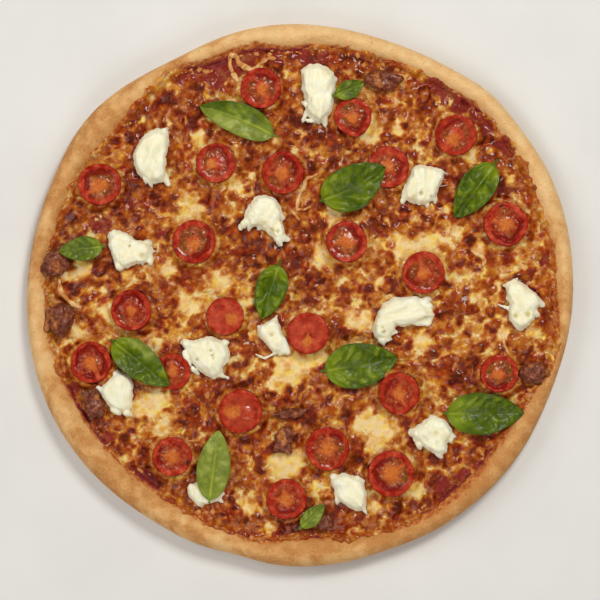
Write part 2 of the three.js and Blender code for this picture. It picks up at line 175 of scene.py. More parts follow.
def feeler(piece):
    """A tree that answers where a ray meets a piece."""
    mesh = piece.data
    return BVHTree.FromPolygons([v.co for v in mesh.vertices], [f.vertices for f in mesh.polygons])


def heights_under(tree, x, y, otherwise):
    """How high the piece's top is at each place, in mm, or `otherwise` where there is none."""
    found = np.full(len(x), float(otherwise))
    for i, (px, py) in enumerate(zip(x, y)):
        spot, _, _, _ = tree.ray_cast(Vector((px * MM, py * MM, SKY)), DOWN)
        if spot:
            found[i] = spot.z / MM
    return found


# %% [markdown]
# ## Uneven values
#
# Nothing baked is even, so every shape and mask below is disturbed by smooth random values. A lattice of random
# numbers, blended between its points, is enough. Adding two finer lattices gives it small detail as well.
# Each call names its own seed, so the pizza comes out the same every time.

# %% Smooth unevenness
LATTICE = 64  # points along each side, after which it repeats


def steps_between(low, high, value):
    """0 up to `low`, 1 from `high`, and a smooth rise between them."""
    share = np.clip((value - low) / (high - low), 0, 1)
    return share * share * (3 - 2 * share)


def uneven(x, y, size, seed, layers=3):
    """Smooth values round 0, seldom past -1 or 1, in lumps about `size` across."""
    total, weight, strength = 0.0, 0.0, 1.0
    for layer in range(layers):
        lattice = np.random.default_rng(seed * 31 + layer).uniform(-1, 1, (LATTICE, LATTICE))
        turn = 0.7 + 1.1 * layer
        u = (x * math.cos(turn) + y * math.sin(turn)) / size + 7.3
        v = (y * math.cos(turn) - x * math.sin(turn)) / size + 3.1
        i, j = np.floor(u).astype(int), np.floor(v).astype(int)
        s, t = steps_between(0, 1, u - i), steps_between(0, 1, v - j)
        i0, i1, j0, j1 = i % LATTICE, (i + 1) % LATTICE, j % LATTICE, (j + 1) % LATTICE
        near = lattice[i0, j0] * (1 - s) + lattice[i1, j0] * s
        far = lattice[i0, j1] * (1 - s) + lattice[i1, j1] * s
        total = total + strength * (near * (1 - t) + far * t)
        weight += strength
        size, strength = size * 0.5, strength * 0.55
    return total / weight * 1.6


def around(usual, swells):
    """A measure that runs round the pizza: the usual value, with a swell at each named bearing."""

    def at(angle):
        total = np.full(np.shape(angle), float(usual))
        for bearing, by, spread in swells:
            off = (np.degrees(angle) - bearing + 180) % 360 - 180
            total = total + by * np.exp(-((off / spread) ** 2))
        return total

    return at


# %% [markdown]
# ## The outline of the dough
#
# The dough was stretched by hand, so its rim is neither round nor of one width. The solids were drawn from a
# mean radius with swells at named bearings, and the same numbers are used here, because the fine mesh has to
# follow the same outline. The whole pizza was then moved until the middle of its outline stood on the axis.

# %% The measures of the rim
MEAN_RADIUS = 152.7
RIM_HEIGHT = 15
RIM_WIDTH = 11.6
BED_HEIGHT = 6.5
RIM_BULGES = (  # bearing in degrees, how far out in mm, and how wide in degrees
    (26, 2.9, 22), (47, 1.8, 7), (73, -1.9, 16), (117, -2.7, 12), (140, 2.6, 12),
    (204, 2.2, 22), (238, -1.4, 12), (256, -2.2, 7), (289, -1.1, 9), (339, -1.6, 12),
)
RIM_WIDENINGS = (
    (22, 2.6, 9), (93, 3, 5), (119, -4.5, 6), (139, 5.5, 12), (225, 4.8, 40),
    (258, -2.5, 5), (273, 4, 9), (325, 3, 16), (346, -5, 9),
)
rim_edge = around(MEAN_RADIUS, RIM_BULGES)
rim_width = around(RIM_WIDTH, RIM_WIDENINGS)

turns = np.radians(np.arange(0, 360, 5))
ring_x, ring_y = rim_edge(turns) * np.cos(turns), rim_edge(turns) * np.sin(turns)
MIDDLE = ((ring_x.min() + ring_x.max()) / 2, (ring_y.min() + ring_y.max()) / 2)
print(f"the pizza stands {MIDDLE[0]:.2f}, {MIDDLE[1]:.2f} mm from where its measures were taken")


def bearing_and_radius(x, y):
    """Bearing in radians and distance in mm from where the rim's measures were taken."""
    x, y = x + MIDDLE[0], y + MIDDLE[1]
    return np.arctan2(y, x), np.hypot(x, y)


# %% [markdown]
# ## Materials: shared helpers
#
# Every finish is a Principled surface whose colour comes from named tones, blended by the masks in the mesh and
# by noise. Two effects are needed by nearly all of them: a mottle of broad clouds with a fine grain over it, and
# a fine relief of pores and wrinkles. Each could be wired anew in every material. It is wired once instead, as a
# node group with named inputs, and a material places the group and gives it values of its own. A group only puts
# out a value or a normal, and the surface shader stays in the material.

# %% Tones, and noise inside a group


def tone(red, green, blue):
    """A colour given as it looks on a screen, from 0 to 255, in the linear values that a shader wants."""
    linear = [((c / 255 + 0.055) / 1.055) ** 2.4 if c > 10 else c / 255 / 12.92 for c in (red, green, blue)]
    return (*linear, 1.0)


def new_group(name, inputs, output, kind):
    """An empty node group with named number inputs, each with its usual value, and one output."""
    group = bpy.data.node_groups.new(name, "ShaderNodeTree")
    for label, usual in inputs.items():
        group.interface.new_socket(name=label, in_out="INPUT", socket_type="NodeSocketFloat").default_value = usual
    group.interface.new_socket(name=output, in_out="OUTPUT", socket_type=kind)
    return group, group.nodes.new("NodeGroupInput"), group.nodes.new("NodeGroupOutput")


def noise_inside(group, given, size, detail, roughness=None):
    """Noise in a group, on Object coordinates. Its size in mm and its detail are the named inputs of the group."""
    place = group.nodes.new("ShaderNodeTexCoord")
    scale = group.nodes.new("ShaderNodeMath")
    scale.operation = "DIVIDE"
    scale.inputs[0].default_value = 1 / MM
    made = group.nodes.new("ShaderNodeTexNoise")
    made.inputs["Roughness"].default_value = 0.55
    group.links.new(given.outputs[size], scale.inputs[1])
    group.links.new(place.outputs["Object"], made.inputs["Vector"])
    group.links.new(scale.outputs[0], made.inputs["Scale"])
    group.links.new(given.outputs[detail], made.inputs["Detail"])
    if roughness:
        group.links.new(given.outputs[roughness], made.inputs["Roughness"])
    return made.outputs["Fac"]


# %% The shared mottle
MOTTLE, given, result = new_group(
    "mottle", {"Cloud size": 4, "Cloud detail": 3, "Grain size": 1, "Grain detail": 3, "Grain share": 0.3},
    "Mottle", "NodeSocketFloat",
)
centred = MOTTLE.nodes.new("ShaderNodeMath")
centred.operation = "SUBTRACT"
centred.inputs[1].default_value = 0.5
together = MOTTLE.nodes.new("ShaderNodeMath")
together.operation = "MULTIPLY_ADD"
MOTTLE.links.new(noise_inside(MOTTLE, given, "Grain size", "Grain detail"), centred.inputs[0])
MOTTLE.links.new(centred.outputs[0], together.inputs[0])
MOTTLE.links.new(given.outputs["Grain share"], together.inputs[1])
MOTTLE.links.new(noise_inside(MOTTLE, given, "Cloud size", "Cloud detail"), together.inputs[2])
MOTTLE.links.new(together.outputs[0], result.inputs["Mottle"])

# %% The shared fine relief
FINE_RELIEF, given, result = new_group(
    "fine relief", {"Size": 0.9, "Detail": 3, "Roughness": 0.55, "Depth": 0.2}, "Normal", "NodeSocketVector",
)
in_metres = FINE_RELIEF.nodes.new("ShaderNodeMath")
in_metres.operation = "MULTIPLY"
in_metres.inputs[1].default_value = MM
bump = FINE_RELIEF.nodes.new("ShaderNodeBump")
FINE_RELIEF.links.new(given.outputs["Depth"], in_metres.inputs[0])
FINE_RELIEF.links.new(in_metres.outputs[0], bump.inputs["Distance"])
FINE_RELIEF.links.new(noise_inside(FINE_RELIEF, given, "Size", "Detail", "Roughness"), bump.inputs["Height"])
FINE_RELIEF.links.new(bump.outputs["Normal"], result.inputs["Normal"])

print(f"the shared groups are {MOTTLE.name} and {FINE_RELIEF.name}")

# %% [markdown]
# `Painter` holds one material and hands out its nodes. Its helpers only place and wire them, so that each finish
# can be read as a short recipe.

# %% A small paint box


class Painter:
    """Builds one material, node by node."""

    def __init__(self, name, **settings):
        self.material = bpy.data.materials.new(name)
        self.material.use_nodes = True
        self.tree = self.material.node_tree
        self.surface = self.tree.nodes["Principled BSDF"]
        for socket, value in settings.items():
            self.surface.inputs[socket.replace("_", " ")].default_value = value
        self.place = self.tree.nodes.new("ShaderNodeTexCoord").outputs["Object"]

    def node(self, kind, **settings):
        made = self.tree.nodes.new("ShaderNode" + kind)
        for setting, value in settings.items():
            setattr(made, setting, value)
        return made

    def plug(self, value, socket):
        """Joins an output to a socket, or sets the socket to a plain value."""
        if isinstance(value, bpy.types.NodeSocket):
            self.tree.links.new(value, socket)
        else:
            socket.default_value = value

    def mask(self, name):
        return self.node("Attribute", attribute_name=name).outputs["Fac"]

    def noise(self, size, detail=3.0, roughness=0.55):
        """Noise from 0 to 1 whose lumps are about `size` mm across."""
        made = self.node("TexNoise")
        self.plug(self.place, made.inputs["Vector"])
        made.inputs["Scale"].default_value = 1 / (size * MM)
        made.inputs["Detail"].default_value = detail
        made.inputs["Roughness"].default_value = roughness
        return made.outputs["Fac"]

    def cells(self, size, place):
        """The distance to the middle of the nearest of many cells, each about `size` mm across."""
        made = self.node("TexVoronoi", feature="SMOOTH_F1")
        made.inputs["Smoothness"].default_value = 0.35
        self.plug(place, made.inputs["Vector"])
        made.inputs["Scale"].default_value = 1 / (size * MM)
        return made.outputs["Distance"]

    def warped(self, size, reach):
        """The place, shifted by up to `reach` mm in swirls about `size` mm across."""
        swirl = self.node("TexNoise")
        self.plug(self.place, swirl.inputs["Vector"])
        swirl.inputs["Scale"].default_value = 1 / (size * MM)
        shift = self.node("VectorMath", operation="SUBTRACT")
        self.plug(swirl.outputs["Color"], shift.inputs[0])
        shift.inputs[1].default_value = (0.5, 0.5, 0.5)
        made = self.node("VectorMath", operation="MULTIPLY_ADD")
        self.plug(shift.outputs[0], made.inputs[0])
        made.inputs[1].default_value = (2 * reach * MM,) * 3
        self.plug(self.place, made.inputs[2])
        return made.outputs[0]

    def sum(self, a, b, operation="ADD"):
        made = self.node("Math", operation=operation)
        self.plug(a, made.inputs[0])
        self.plug(b, made.inputs[1])
        return made.outputs[0]

    def times(self, a, b):
        return self.sum(a, b, "MULTIPLY")

    def spread(self, value, low, high, to_low=0.0, to_high=1.0):
        """Stretches what lies between low and high to another range, and clips the rest."""
        made = self.node("MapRange", interpolation_type="SMOOTHSTEP")
        for socket, number in zip(made.inputs, (value, low, high, to_low, to_high)):
            self.plug(number, socket)
        return made.outputs["Result"]

    def ramp(self, value, *stops):
        """Colours along a scale. Each stop is its place on the scale, then its red, green and blue."""
        made = self.node("ValToRGB")
        scale = made.color_ramp.elements
        while len(scale) > 1:
            scale.remove(scale[0])
        first, *others = stops
        scale[0].position, scale[0].color = first[0], tone(*first[1:])
        for position, *shade in others:
            scale.new(position).color = tone(*shade)
        self.plug(value, made.inputs["Fac"])
        return made.outputs["Color"]

    def blend(self, amount, first, second, kind="MIX"):
        """The first colour where the amount is 0, and the second laid over it where it is 1."""
        made = self.node("Mix", data_type="RGBA", blend_type=kind)
        self.plug(amount, made.inputs[0])
        self.plug(first, made.inputs[6])
        self.plug(second, made.inputs[7])
        return made.outputs[2]

    def bumps(self, height, depth):
        """Relief `depth` mm deep that follows a height from 0 to 1."""
        made = self.node("Bump")
        made.inputs["Distance"].default_value = depth * MM
        self.plug(height, made.inputs["Height"])
        return made.outputs["Normal"]

    def shared(self, group, *values):
        """Places one of the shared groups, with this material's own values in the order of its inputs."""
        made = self.node("Group", node_tree=group)
        for socket, value in zip(made.inputs, values):
            socket.default_value = value
        return made.outputs[0]

    def mottle(self, cloud_size, cloud_detail, grain_size, grain_detail, grain_share):
        return self.shared(MOTTLE, cloud_size, cloud_detail, grain_size, grain_detail, grain_share)

    def fine_relief(self, size, detail, depth, roughness=0.55):
        return self.shared(FINE_RELIEF, size, detail, roughness, depth)

    def finish(self, colour, normal=None, roughness=None, coat=None):
        self.plug(colour, self.surface.inputs["Base Color"])
        if normal is not None:
            self.plug(normal, self.surface.inputs["Normal"])
        if roughness is not None:
            self.plug(roughness, self.surface.inputs["Roughness"])
        if coat is not None:
            self.plug(coat, self.surface.inputs["Coat Weight"])
        return self.material


# %% [markdown]
# ## The dough
#
# The rim is puffed bread: smooth outside, highest near the middle of its width, then falling to the bed. It could
# be a torus, but the real one changes width and leans. So half of its section is drawn as a chain of corners, spun
# round the axis, and each ring is then stretched to the measured edge and foot. Slow swellings and a few finer
# dimples are pressed into it as relief, while pores and specks belong to the material.

# %% Draw half of the section
FOOT_HEIGHT = 10.2  # where the slope meets the topping; from there the dough falls to its bed under the cheese
crest = RIM_WIDTH * 0.48  # from the outer edge in to the highest line
widest = RIM_HEIGHT * 0.45  # the height at which the rim reaches furthest out
flat_radius = MEAN_RADIUS - crest * 1.1  # where the flat underside ends
floor_radius = MEAN_RADIUS - RIM_WIDTH

section = [(share * flat_radius, 0) for share in (0, 0.3, 0.6, 0.8, 0.9, 0.96, 1)]
for degrees in np.linspace(-65, 84, 22):  # up the outside
    angle = math.radians(degrees)
    reach = widest if angle < 0 else RIM_HEIGHT - widest
    section.append((MEAN_RADIUS - crest * (1 - math.cos(angle)), widest + reach * math.sin(angle)))
for share in np.linspace(0.06, 1, 24):  # down the inner slope
    drop = 0.25 * share + 0.75 * share**2
    height = RIM_HEIGHT + (FOOT_HEIGHT - RIM_HEIGHT) * drop
    section.append((MEAN_RADIUS - crest - share * (RIM_WIDTH - crest), height))
for share in (0.25, 0.5, 0.75):
    under_cheese = FOOT_HEIGHT + (BED_HEIGHT - FOOT_HEIGHT) * steps_between(0, 1, share)
    section.append((floor_radius - 3 * share, float(under_cheese)))
section += [(floor_radius - inwards, BED_HEIGHT) for inwards in (3, 5, 12, 60)] + [(0, BED_HEIGHT)]
print(f"half of the section has {len(section)} corners")

# %% Spin the section
BEARINGS = 720  # corners round each ring, one every half degree


def spun(name, section, bearings):
    """A body of revolution: its half section is spun round the upright axis, and its seam and poles are closed."""
    nothing_selected()
    mesh = bpy.data.meshes.new(name)
    corners = [(radius * MM, 0, height * MM) for radius, height in section]
    mesh.from_pydata(corners, [(i, i + 1) for i in range(len(corners) - 1)], [])
    piece = bpy.data.objects.new(name, mesh)
    bpy.context.scene.collection.objects.link(piece)
    select_only(piece)
    bpy.ops.object.mode_set(mode="EDIT")
    bpy.ops.mesh.select_all(action="SELECT")
    bpy.ops.mesh.spin(steps=bearings, angle=2 * math.pi, center=(0, 0, 0), axis=(0, 0, 1))
    close_seams(piece)
    return piece


dough = spun("baked_dough", section, BEARINGS)
print(f"the spun dough has {len(dough.data.vertices)} corners")

# %% [markdown]
# The rings now go to their measured places. A ring that lies between the outer edge and the foot keeps its share
# of the rim's width. Relief is added on top of that, and only as much as bread shows: the swellings are half a
# millimetre high, and the inner slope is rougher than the outside, because the topping has boiled against it.

# %% Stretch the rings to the rim and press the relief in
places = points_of(dough) / MM
angle, radius = np.arctan2(places[:, 1], places[:, 0]), np.hypot(places[:, 0], places[:, 1])
across = (MEAN_RADIUS - radius) / RIM_WIDTH  # 0 at the outer edge, 1 at the foot
foot = rim_edge(angle) - rim_width(angle)
radius = np.where(across < 1, rim_edge(angle) - across * rim_width(angle), radius / floor_radius * foot)
x, y, z = radius * np.cos(angle), radius * np.sin(angle), places[:, 2]

lift = 1 + 0.35 * (rim_width(angle) / RIM_WIDTH - 1) + 0.05 * uneven(x, y, 60, 1)
z = np.where(z > BED_HEIGHT, BED_HEIGHT + (z - BED_HEIGHT) * lift, z)
on_rim = steps_between(1.05, 0.85, across) * steps_between(0.5, 3, z)
swelling = 0.45 * uneven(x, y, 22, 2) + 0.2 * uneven(x, y + z, 7, 3) + 0.12 * uneven(x - z, y, 2.4, 4)
boiled = 0.35 * uneven(x, y, 3.2, 5) * steps_between(0.6, 0.95, across)
z = z + on_rim * (swelling + boiled)
radius = radius + on_rim * steps_between(9, 4, z) * 0.35 * uneven(x + z, y - z, 9, 6)
x, y = radius * np.cos(angle), radius * np.sin(angle)
move_points(dough, np.column_stack((x - MIDDLE[0], y - MIDDLE[1], z)) * MM)

# %% [markdown]
# Where the topping boiled over the foot it left a stain on the inner slope. Its edge is ragged, and it climbs
# higher at some bearings than at others. The stain is a mask on the mesh: 1 where the slope is covered, 0 where
# the bread is clean. A second mask is partly how far the bread is baked and partly painted light: by bearing the
# bread is painted paler toward the window lamp and darker away from it, then come soft blotches, and the low
# outside near the floor of the oven is browner.

# %% Masks for the stain, and for the browning of the bread with painted light by bearing
SPILLS = (  # bearing in degrees, how far up in mm, and how wide in degrees
    (105, 1.6, 10), (345, 2.2, 12), (308, 2.4, 16), (180, 1.2, 12), (15, 1, 10), (235, 0.8, 10),
    (150, -0.9, 10), (78, -0.6, 10),
)
# painted light: by bearing, the bread is painted paler toward the window lamp and darker away from it
PAINTED_LIGHT_BEARINGS = (  # bearing, how much browner or paler, and how wide
    (60, -0.75, 34), (92, -0.1, 12), (116, 0.2, 12), (300, 0.4, 28), (340, 0.3, 14), (160, 0.25, 20),
    (222, 0.25, 20),
)
spill = around(1.3, SPILLS)
painted_light_by_bearing = around(0.05, PAINTED_LIGHT_BEARINGS)
inside_foot = across * rim_width(angle) - rim_width(angle)  # below 0 on the rim, in mm
reach = spill(angle) + 1.1 * uneven(x, y, 5, 7) + 0.5 * uneven(x, y, 1.8, 8)
stain = steps_between(-0.9, 0.5, inside_foot + reach) * (z > 3)
low_side = steps_between(8, 3, z) * steps_between(0.5, 0, across)
blotches = 0.36 * uneven(x + 0.8 * z, y - 0.8 * z, 16, 9) + 0.2 * uneven(x + z, y - z, 4, 10)
# this mask is partly browning and partly painted light from the bearing
browning_and_painted_light = steps_between(0.1, 0.9, 0.45 + blotches + painted_light_by_bearing(angle) + 0.25 * low_side)
keep_mask(dough, "stain", stain)
keep_mask(dough, "browning_and_painted_light", browning_and_painted_light)
keep_mask(dough, "slope", steps_between(0.45, 1, across))
print(f"the stain covers {stain[across < 1].mean():.0%} of the rim")

# %% [markdown]
# Baked dough is a matt golden crumb: never one colour, paler on its puffed crest, browner low on its sides, with
# fine pores and specks of bran. Four tones are blended by the mask of browning and painted light, and by the
# mottle. Light enters bread a little before it comes out again, which is what the small subsurface weight is for.

# %% The finish of baked dough
paint = Painter("baked dough", Roughness=0.72, Specular_IOR_Level=0.15, Subsurface_Weight=0.08,
                Subsurface_Scale=0.002)
crumb = paint.mottle(7, 4, 1.1, 3, 0.67)
# the mask below carries painted light too: the bread is paler toward the window lamp
bread = paint.ramp(
    paint.sum(paint.times(paint.mask("browning_and_painted_light"), 0.55), paint.times(crumb, 0.75)),
    (0.1, 246, 212, 156), (0.45, 234, 188, 128), (0.75, 220, 166, 104), (1.0, 196, 134, 74),
)
bread = paint.blend(paint.times(paint.mask("slope"), 0.35), bread, tone(214, 150, 78))
specks = paint.spread(paint.noise(1.7, 2), 0.66, 0.72)
bread = paint.blend(paint.times(specks, 0.45), bread, tone(150, 84, 40))
burnt_on = paint.ramp(
    paint.noise(2.6, 4), (0.3, 144, 62, 30), (0.5, 194, 108, 52), (0.68, 224, 156, 84),
)
colour = paint.blend(paint.mask("stain"), bread, burnt_on)
pores = paint.bumps(paint.sum(paint.noise(0.9, 4, 0.6), paint.times(paint.noise(3.5, 3), 0.8)), 0.5)
gloss = paint.spread(paint.mask("stain"), 0, 1, 0.72, 0.38)
serve(dough, ["crust"], paint.finish(colour, pores, gloss))
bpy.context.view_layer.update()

# %% [markdown]
# ## The sauce
#
# Tomato sauce shows only in strips between the cheese and the rim, and it is dark and wet there. The strip could
# be a flat ring, but a wet surface without relief looks like plastic. So the layer is spun like the dough, with
# close rings where it shows, and small lumps of pulp are raised in it. Its edge creeps a little up the slope.

# %% Spin the sauce
SAUCE_BOTTOM = 6.8
SAUCE_TOP = 8.0
CREEP = 0.2  # how far the sauce climbs past the foot, in mm

section = [(0, SAUCE_BOTTOM), (0.5, SAUCE_BOTTOM), (1, SAUCE_BOTTOM)]
section += [(share, SAUCE_TOP) for share in (1, *np.linspace(0.994, 0.9, 18), 0.6, 0.3, 0)]
sauce = spun("tomato_sauce", [(share * MEAN_RADIUS, height) for share, height in section], BEARINGS)
print(f"the spun sauce has {len(sauce.data.vertices)} corners")

# %% Lay the sauce and raise its pulp
places = points_of(sauce) / MM
angle, share = np.arctan2(places[:, 1], places[:, 0]), np.hypot(places[:, 0], places[:, 1]) / MEAN_RADIUS
foot = rim_edge(angle) - rim_width(angle)
round_x, round_y = foot * np.cos(angle), foot * np.sin(angle)
radius = share * (foot + CREEP + 0.6 * uneven(round_x, round_y, 4, 11))
x, y = radius * np.cos(angle), radius * np.sin(angle)
top = places[:, 2] > (SAUCE_BOTTOM + SAUCE_TOP) / 2
pulp = 0.3 * uneven(x, y, 2.4, 12) + 0.3 * uneven(x, y, 6, 13)
x, y = x - MIDDLE[0], y - MIDDLE[1]
outer = top & (share > 0.88)
slope = np.zeros(len(x))
slope[outer] = heights_under(feeler(dough), x[outer], y[outer], 0)
z = np.where(top, np.maximum(places[:, 2] + pulp - 0.2, slope + 0.3 + 0.5 * pulp), places[:, 2])
move_points(sauce, np.column_stack((x, y, z)) * MM)

# %% The finish of wet sauce
paint = Painter("tomato sauce", Roughness=0.3, Specular_IOR_Level=0.12, Coat_Weight=0.2, Coat_Roughness=0.12,
                Subsurface_Weight=0.05, Subsurface_Scale=0.001)
colour = paint.ramp(paint.noise(3, 4), (0.3, 102, 26, 26), (0.5, 130, 40, 38), (0.7, 158, 66, 44))
pulp = paint.fine_relief(0.8, 4, 0.35)
gloss = paint.spread(paint.noise(2, 2), 0.3, 0.7, 0.2, 0.42)
serve(sauce, ["sauce"], paint.finish(colour, pulp, gloss))

# %% [markdown]
# ## The melted cheese: a map of the sheet
#
# Melted cheese covers most of the pizza. It lies in pale pools where it was thick and moist, turns golden as it
# dries, and rises in bubbles whose tops burn brown and shine with oil. Noise alone gives clouds, not bubbles.
# So the sheet is worked out first on a fine square map, half a millimetre to a cell: where it is roasted, where
# the bubbles are, and how high each stands. The mesh and its masks are then read from that map.

# %% The map
CELL = 0.5
HALF_MAP = 152.0
line = np.arange(-HALF_MAP, HALF_MAP + CELL / 2, CELL)
map_x, map_y = np.meshgrid(line, line)


def softened(field, reach):
    """The field without whatever is finer than `reach` mm."""
    wave = np.fft.fftfreq(len(field), CELL)
    keep = np.exp(-2 * (math.pi * reach) ** 2 * (wave[:, None] ** 2 + wave**2))
    return np.fft.ifft2(np.fft.fft2(field) * keep).real


def read_map(field, x, y):
    """The field's value at each place, blended between its cells."""
    u, v = (x + HALF_MAP) / CELL, (y + HALF_MAP) / CELL
    i = np.clip(np.floor(u).astype(int), 0, len(line) - 2)
    j = np.clip(np.floor(v).astype(int), 0, len(line) - 2)
    s, t = np.clip(u - i, 0, 1), np.clip(v - j, 0, 1)
    low = field[j, i] * (1 - s) + field[j, i + 1] * s
    high = field[j + 1, i] * (1 - s) + field[j + 1, i + 1] * s
    return low * (1 - t) + high * t


print(f"the map has {map_x.size} cells")

# %% What lies on the cheese, and patches on the map


def disc_of(name):
    """The middle and the radius of a topping, seen from above, in mm."""
    low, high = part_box(name)
    middle = (low + high) / 2 / MM
    return middle.x, middle.y, max(high.x - low.x, high.y - low.y) / 2 / MM


def patches(*spots):
    """A map of soft ragged patches, each given as x, y, radius and strength."""
    field = np.zeros_like(map_x)
    ragged_x = map_x + 2.6 * uneven(map_x, map_y, 6, 21)
    ragged_y = map_y + 2.6 * uneven(map_x, map_y, 6, 22)
    for x, y, radius, strength in spots:
        distance = np.hypot(ragged_x - x, ragged_y - y) / radius
        field = np.maximum(field, strength * steps_between(1.3, 0.5, distance))
    return field


TOMATO_NAMES = sorted(name for name in SOLIDS if name.startswith("tomato_"))
TOMATO_DISCS = [disc_of(name) for name in TOMATO_NAMES]
print(f"{len(TOMATO_DISCS)} tomato halves lie on the cheese")

# %% [markdown]
# Cheese doesn't melt at random: there are pools where a slice of it lay, roasted ground where there was little,
# and spots where the sauce shows through. All are named here with their places, so that the sheet has the same
# large pattern as the real one, and noise fills in between.

# %% Where the cheese is pale
pale_pools = patches(
    (-56, 88, 5, 0.8), (-62, 48, 6, 0.8), (-44.3, 9, 6, 1), (-123, 13.5, 6, 0.9), (-73.5, 13.5, 4, 0.8),
    (-96.5, 8.5, 4, 0.7), (-63, -4.5, 7, 0.8), (-79, 118, 6, 0.7), (40.5, 91, 7, 0.7), (55.5, 94.5, 5, 0.8),
    (18, 44, 6.5, 0.8), (13.5, 21.5, 7, 0.8), (58.5, 26.5, 7.5, 1), (70, 26.5, 6.5, 0.9), (78.5, 18.5, 5, 0.8),
    (45.5, 7.5, 3.6, 1), (96, 80.5, 4, 0.8), (99.5, 25, 4, 0.8), (123, 81.5, 4, 0.6), (116.5, 66.5, 4, 0.7),
    (86.5, 35.5, 4, 0.7), (137, 45, 4, 0.5), (-108, -9, 5, 0.9), (-124, -19.5, 6, 0.8), (-82, -61, 8, 1),
    (-91, -65, 6, 0.9), (-77.5, -75, 5, 0.9), (-6.5, -41, 10, 1), (3, -38.5, 7, 0.9), (-11, -51, 5.5, 0.9),
    (-11, -95.5, 9, 1), (-2, -93.5, 7, 0.9), (-29, -117, 6, 0.8), (-18.5, -130, 5, 0.7), (-43, 2.5, 4, 0.7),
    (-79.5, -29, 4, 0.7), (-29, -4.5, 5, 0.8), (10, -34, 6, 0.9), (35, -16, 6.5, 0.9), (28, -14, 6, 0.8),
    (36, -71, 7.5, 1), (45, -72, 7, 0.9), (49, -77, 7, 0.9), (42.5, -82, 6, 0.8), (7, -108.5, 5, 0.8),
    (62, -91.5, 5, 0.8), (64, -108.5, 6, 0.8), (68.5, -27, 5, 0.9), (113.5, -24.5, 4, 0.7), (131, -19.5, 4, 0.6),
    (42.5, -120, 4, 0.7), (-36, 62, 5, 0.6), (-20, -20, 4, 0.6), (98, -2, 4, 0.5), (63, 44, 4, 0.6),
    (-134, 10, 4, 0.8), (-129, 9, 3, 0.8),
)

# %% Where it is roasted or thin
roasted_ground = patches(
    (-91.5, 81.5, 9, 0.9), (-94, 65, 8, 0.9), (-64, 96.5, 7, 0.9), (-82, 52.5, 9, 0.8), (-114, 18, 7, 0.8),
    (20, 85, 8, 0.7), (48, 44, 8, 0.8), (53.5, 28, 4, 0.7), (96, 20.5, 9, 0.6), (85.5, -7.5, 10, 0.7),
    (106.5, -16, 8, 0.7), (127.5, -43, 9, 0.9), (85.5, -45.5, 8, 0.8), (77, -55, 7, 0.7), (106.5, -83.5, 11, 0.9),
    (81, -105, 9, 0.8), (69.5, -115, 9, 0.8), (-12, -60, 8, 0.8), (11, -64.5, 9, 0.9), (25.5, -60, 7, 0.8),
    (-17.5, -83, 10, 0.9), (-90.5, -98.5, 8, 0.8), (-39.5, -122, 9, 0.8), (-60.5, -69, 10, 0.8),
    (-97, -75, 9, 0.6), (-5, 30, 12, 0.6), (-70, -30, 6, 0.7), (-105, 48, 7, 0.7), (0, -125, 9, 0.7),
)
bare_spots = patches(
    (-111, 38.5, 5, 0.9), (90, 107, 6, 0.9), (-47, 127, 11, 1), (-57, 124, 6, 0.9), (-32, 134, 5, 0.9),
    (-66, 120, 4, 0.8), (-36, 128, 8.5, 1), (-27, 126, 6, 0.9), (137.5, 19, 4, 0.9), (-88, -102, 6, 1),
    (81, -107, 6, 0.9), (-77, 36, 4, 0.6), (42, 35, 4, 0.7), (-124.5, -70, 5, 0.8), (-46, 106, 6, 0.6),
    (-27, 134, 5, 1), (-15, 135, 5, 0.9), (3, 134, 5, 0.8), (13, 133, 4, 0.7), (77, 117, 5, 0.8),
    (82, 113, 6, 0.8), (100, 101, 7, 0.6), (104, 93, 5, 0.7), (114, 85, 5, 0.7), (118, 80, 5, 0.6),
    (92, -101, 5, 0.9), (100, -95, 4, 0.9), (-127, -52, 4, 0.9), (-121, -68, 5, 0.8), (-108, -82, 4, 0.8),
    (-113, 41, 6, 0.6), (-96, 53, 5, 0.5),
)
angle, radius = bearing_and_radius(map_x, map_y)
from_foot = radius - (rim_edge(angle) - rim_width(angle))  # below 0 inside the rim's foot
outskirts = steps_between(-22, -3, from_foot)
roast = 0.58 + 0.36 * uneven(map_x, map_y, 13, 23) + 0.3 * roasted_ground + 0.1 * outskirts
roast = np.clip(roast * (1 - 0.94 * pale_pools), 0, 1)
print(f"{(roast > 0.5)[radius < 140].mean():.0%} of the sheet is roasted")
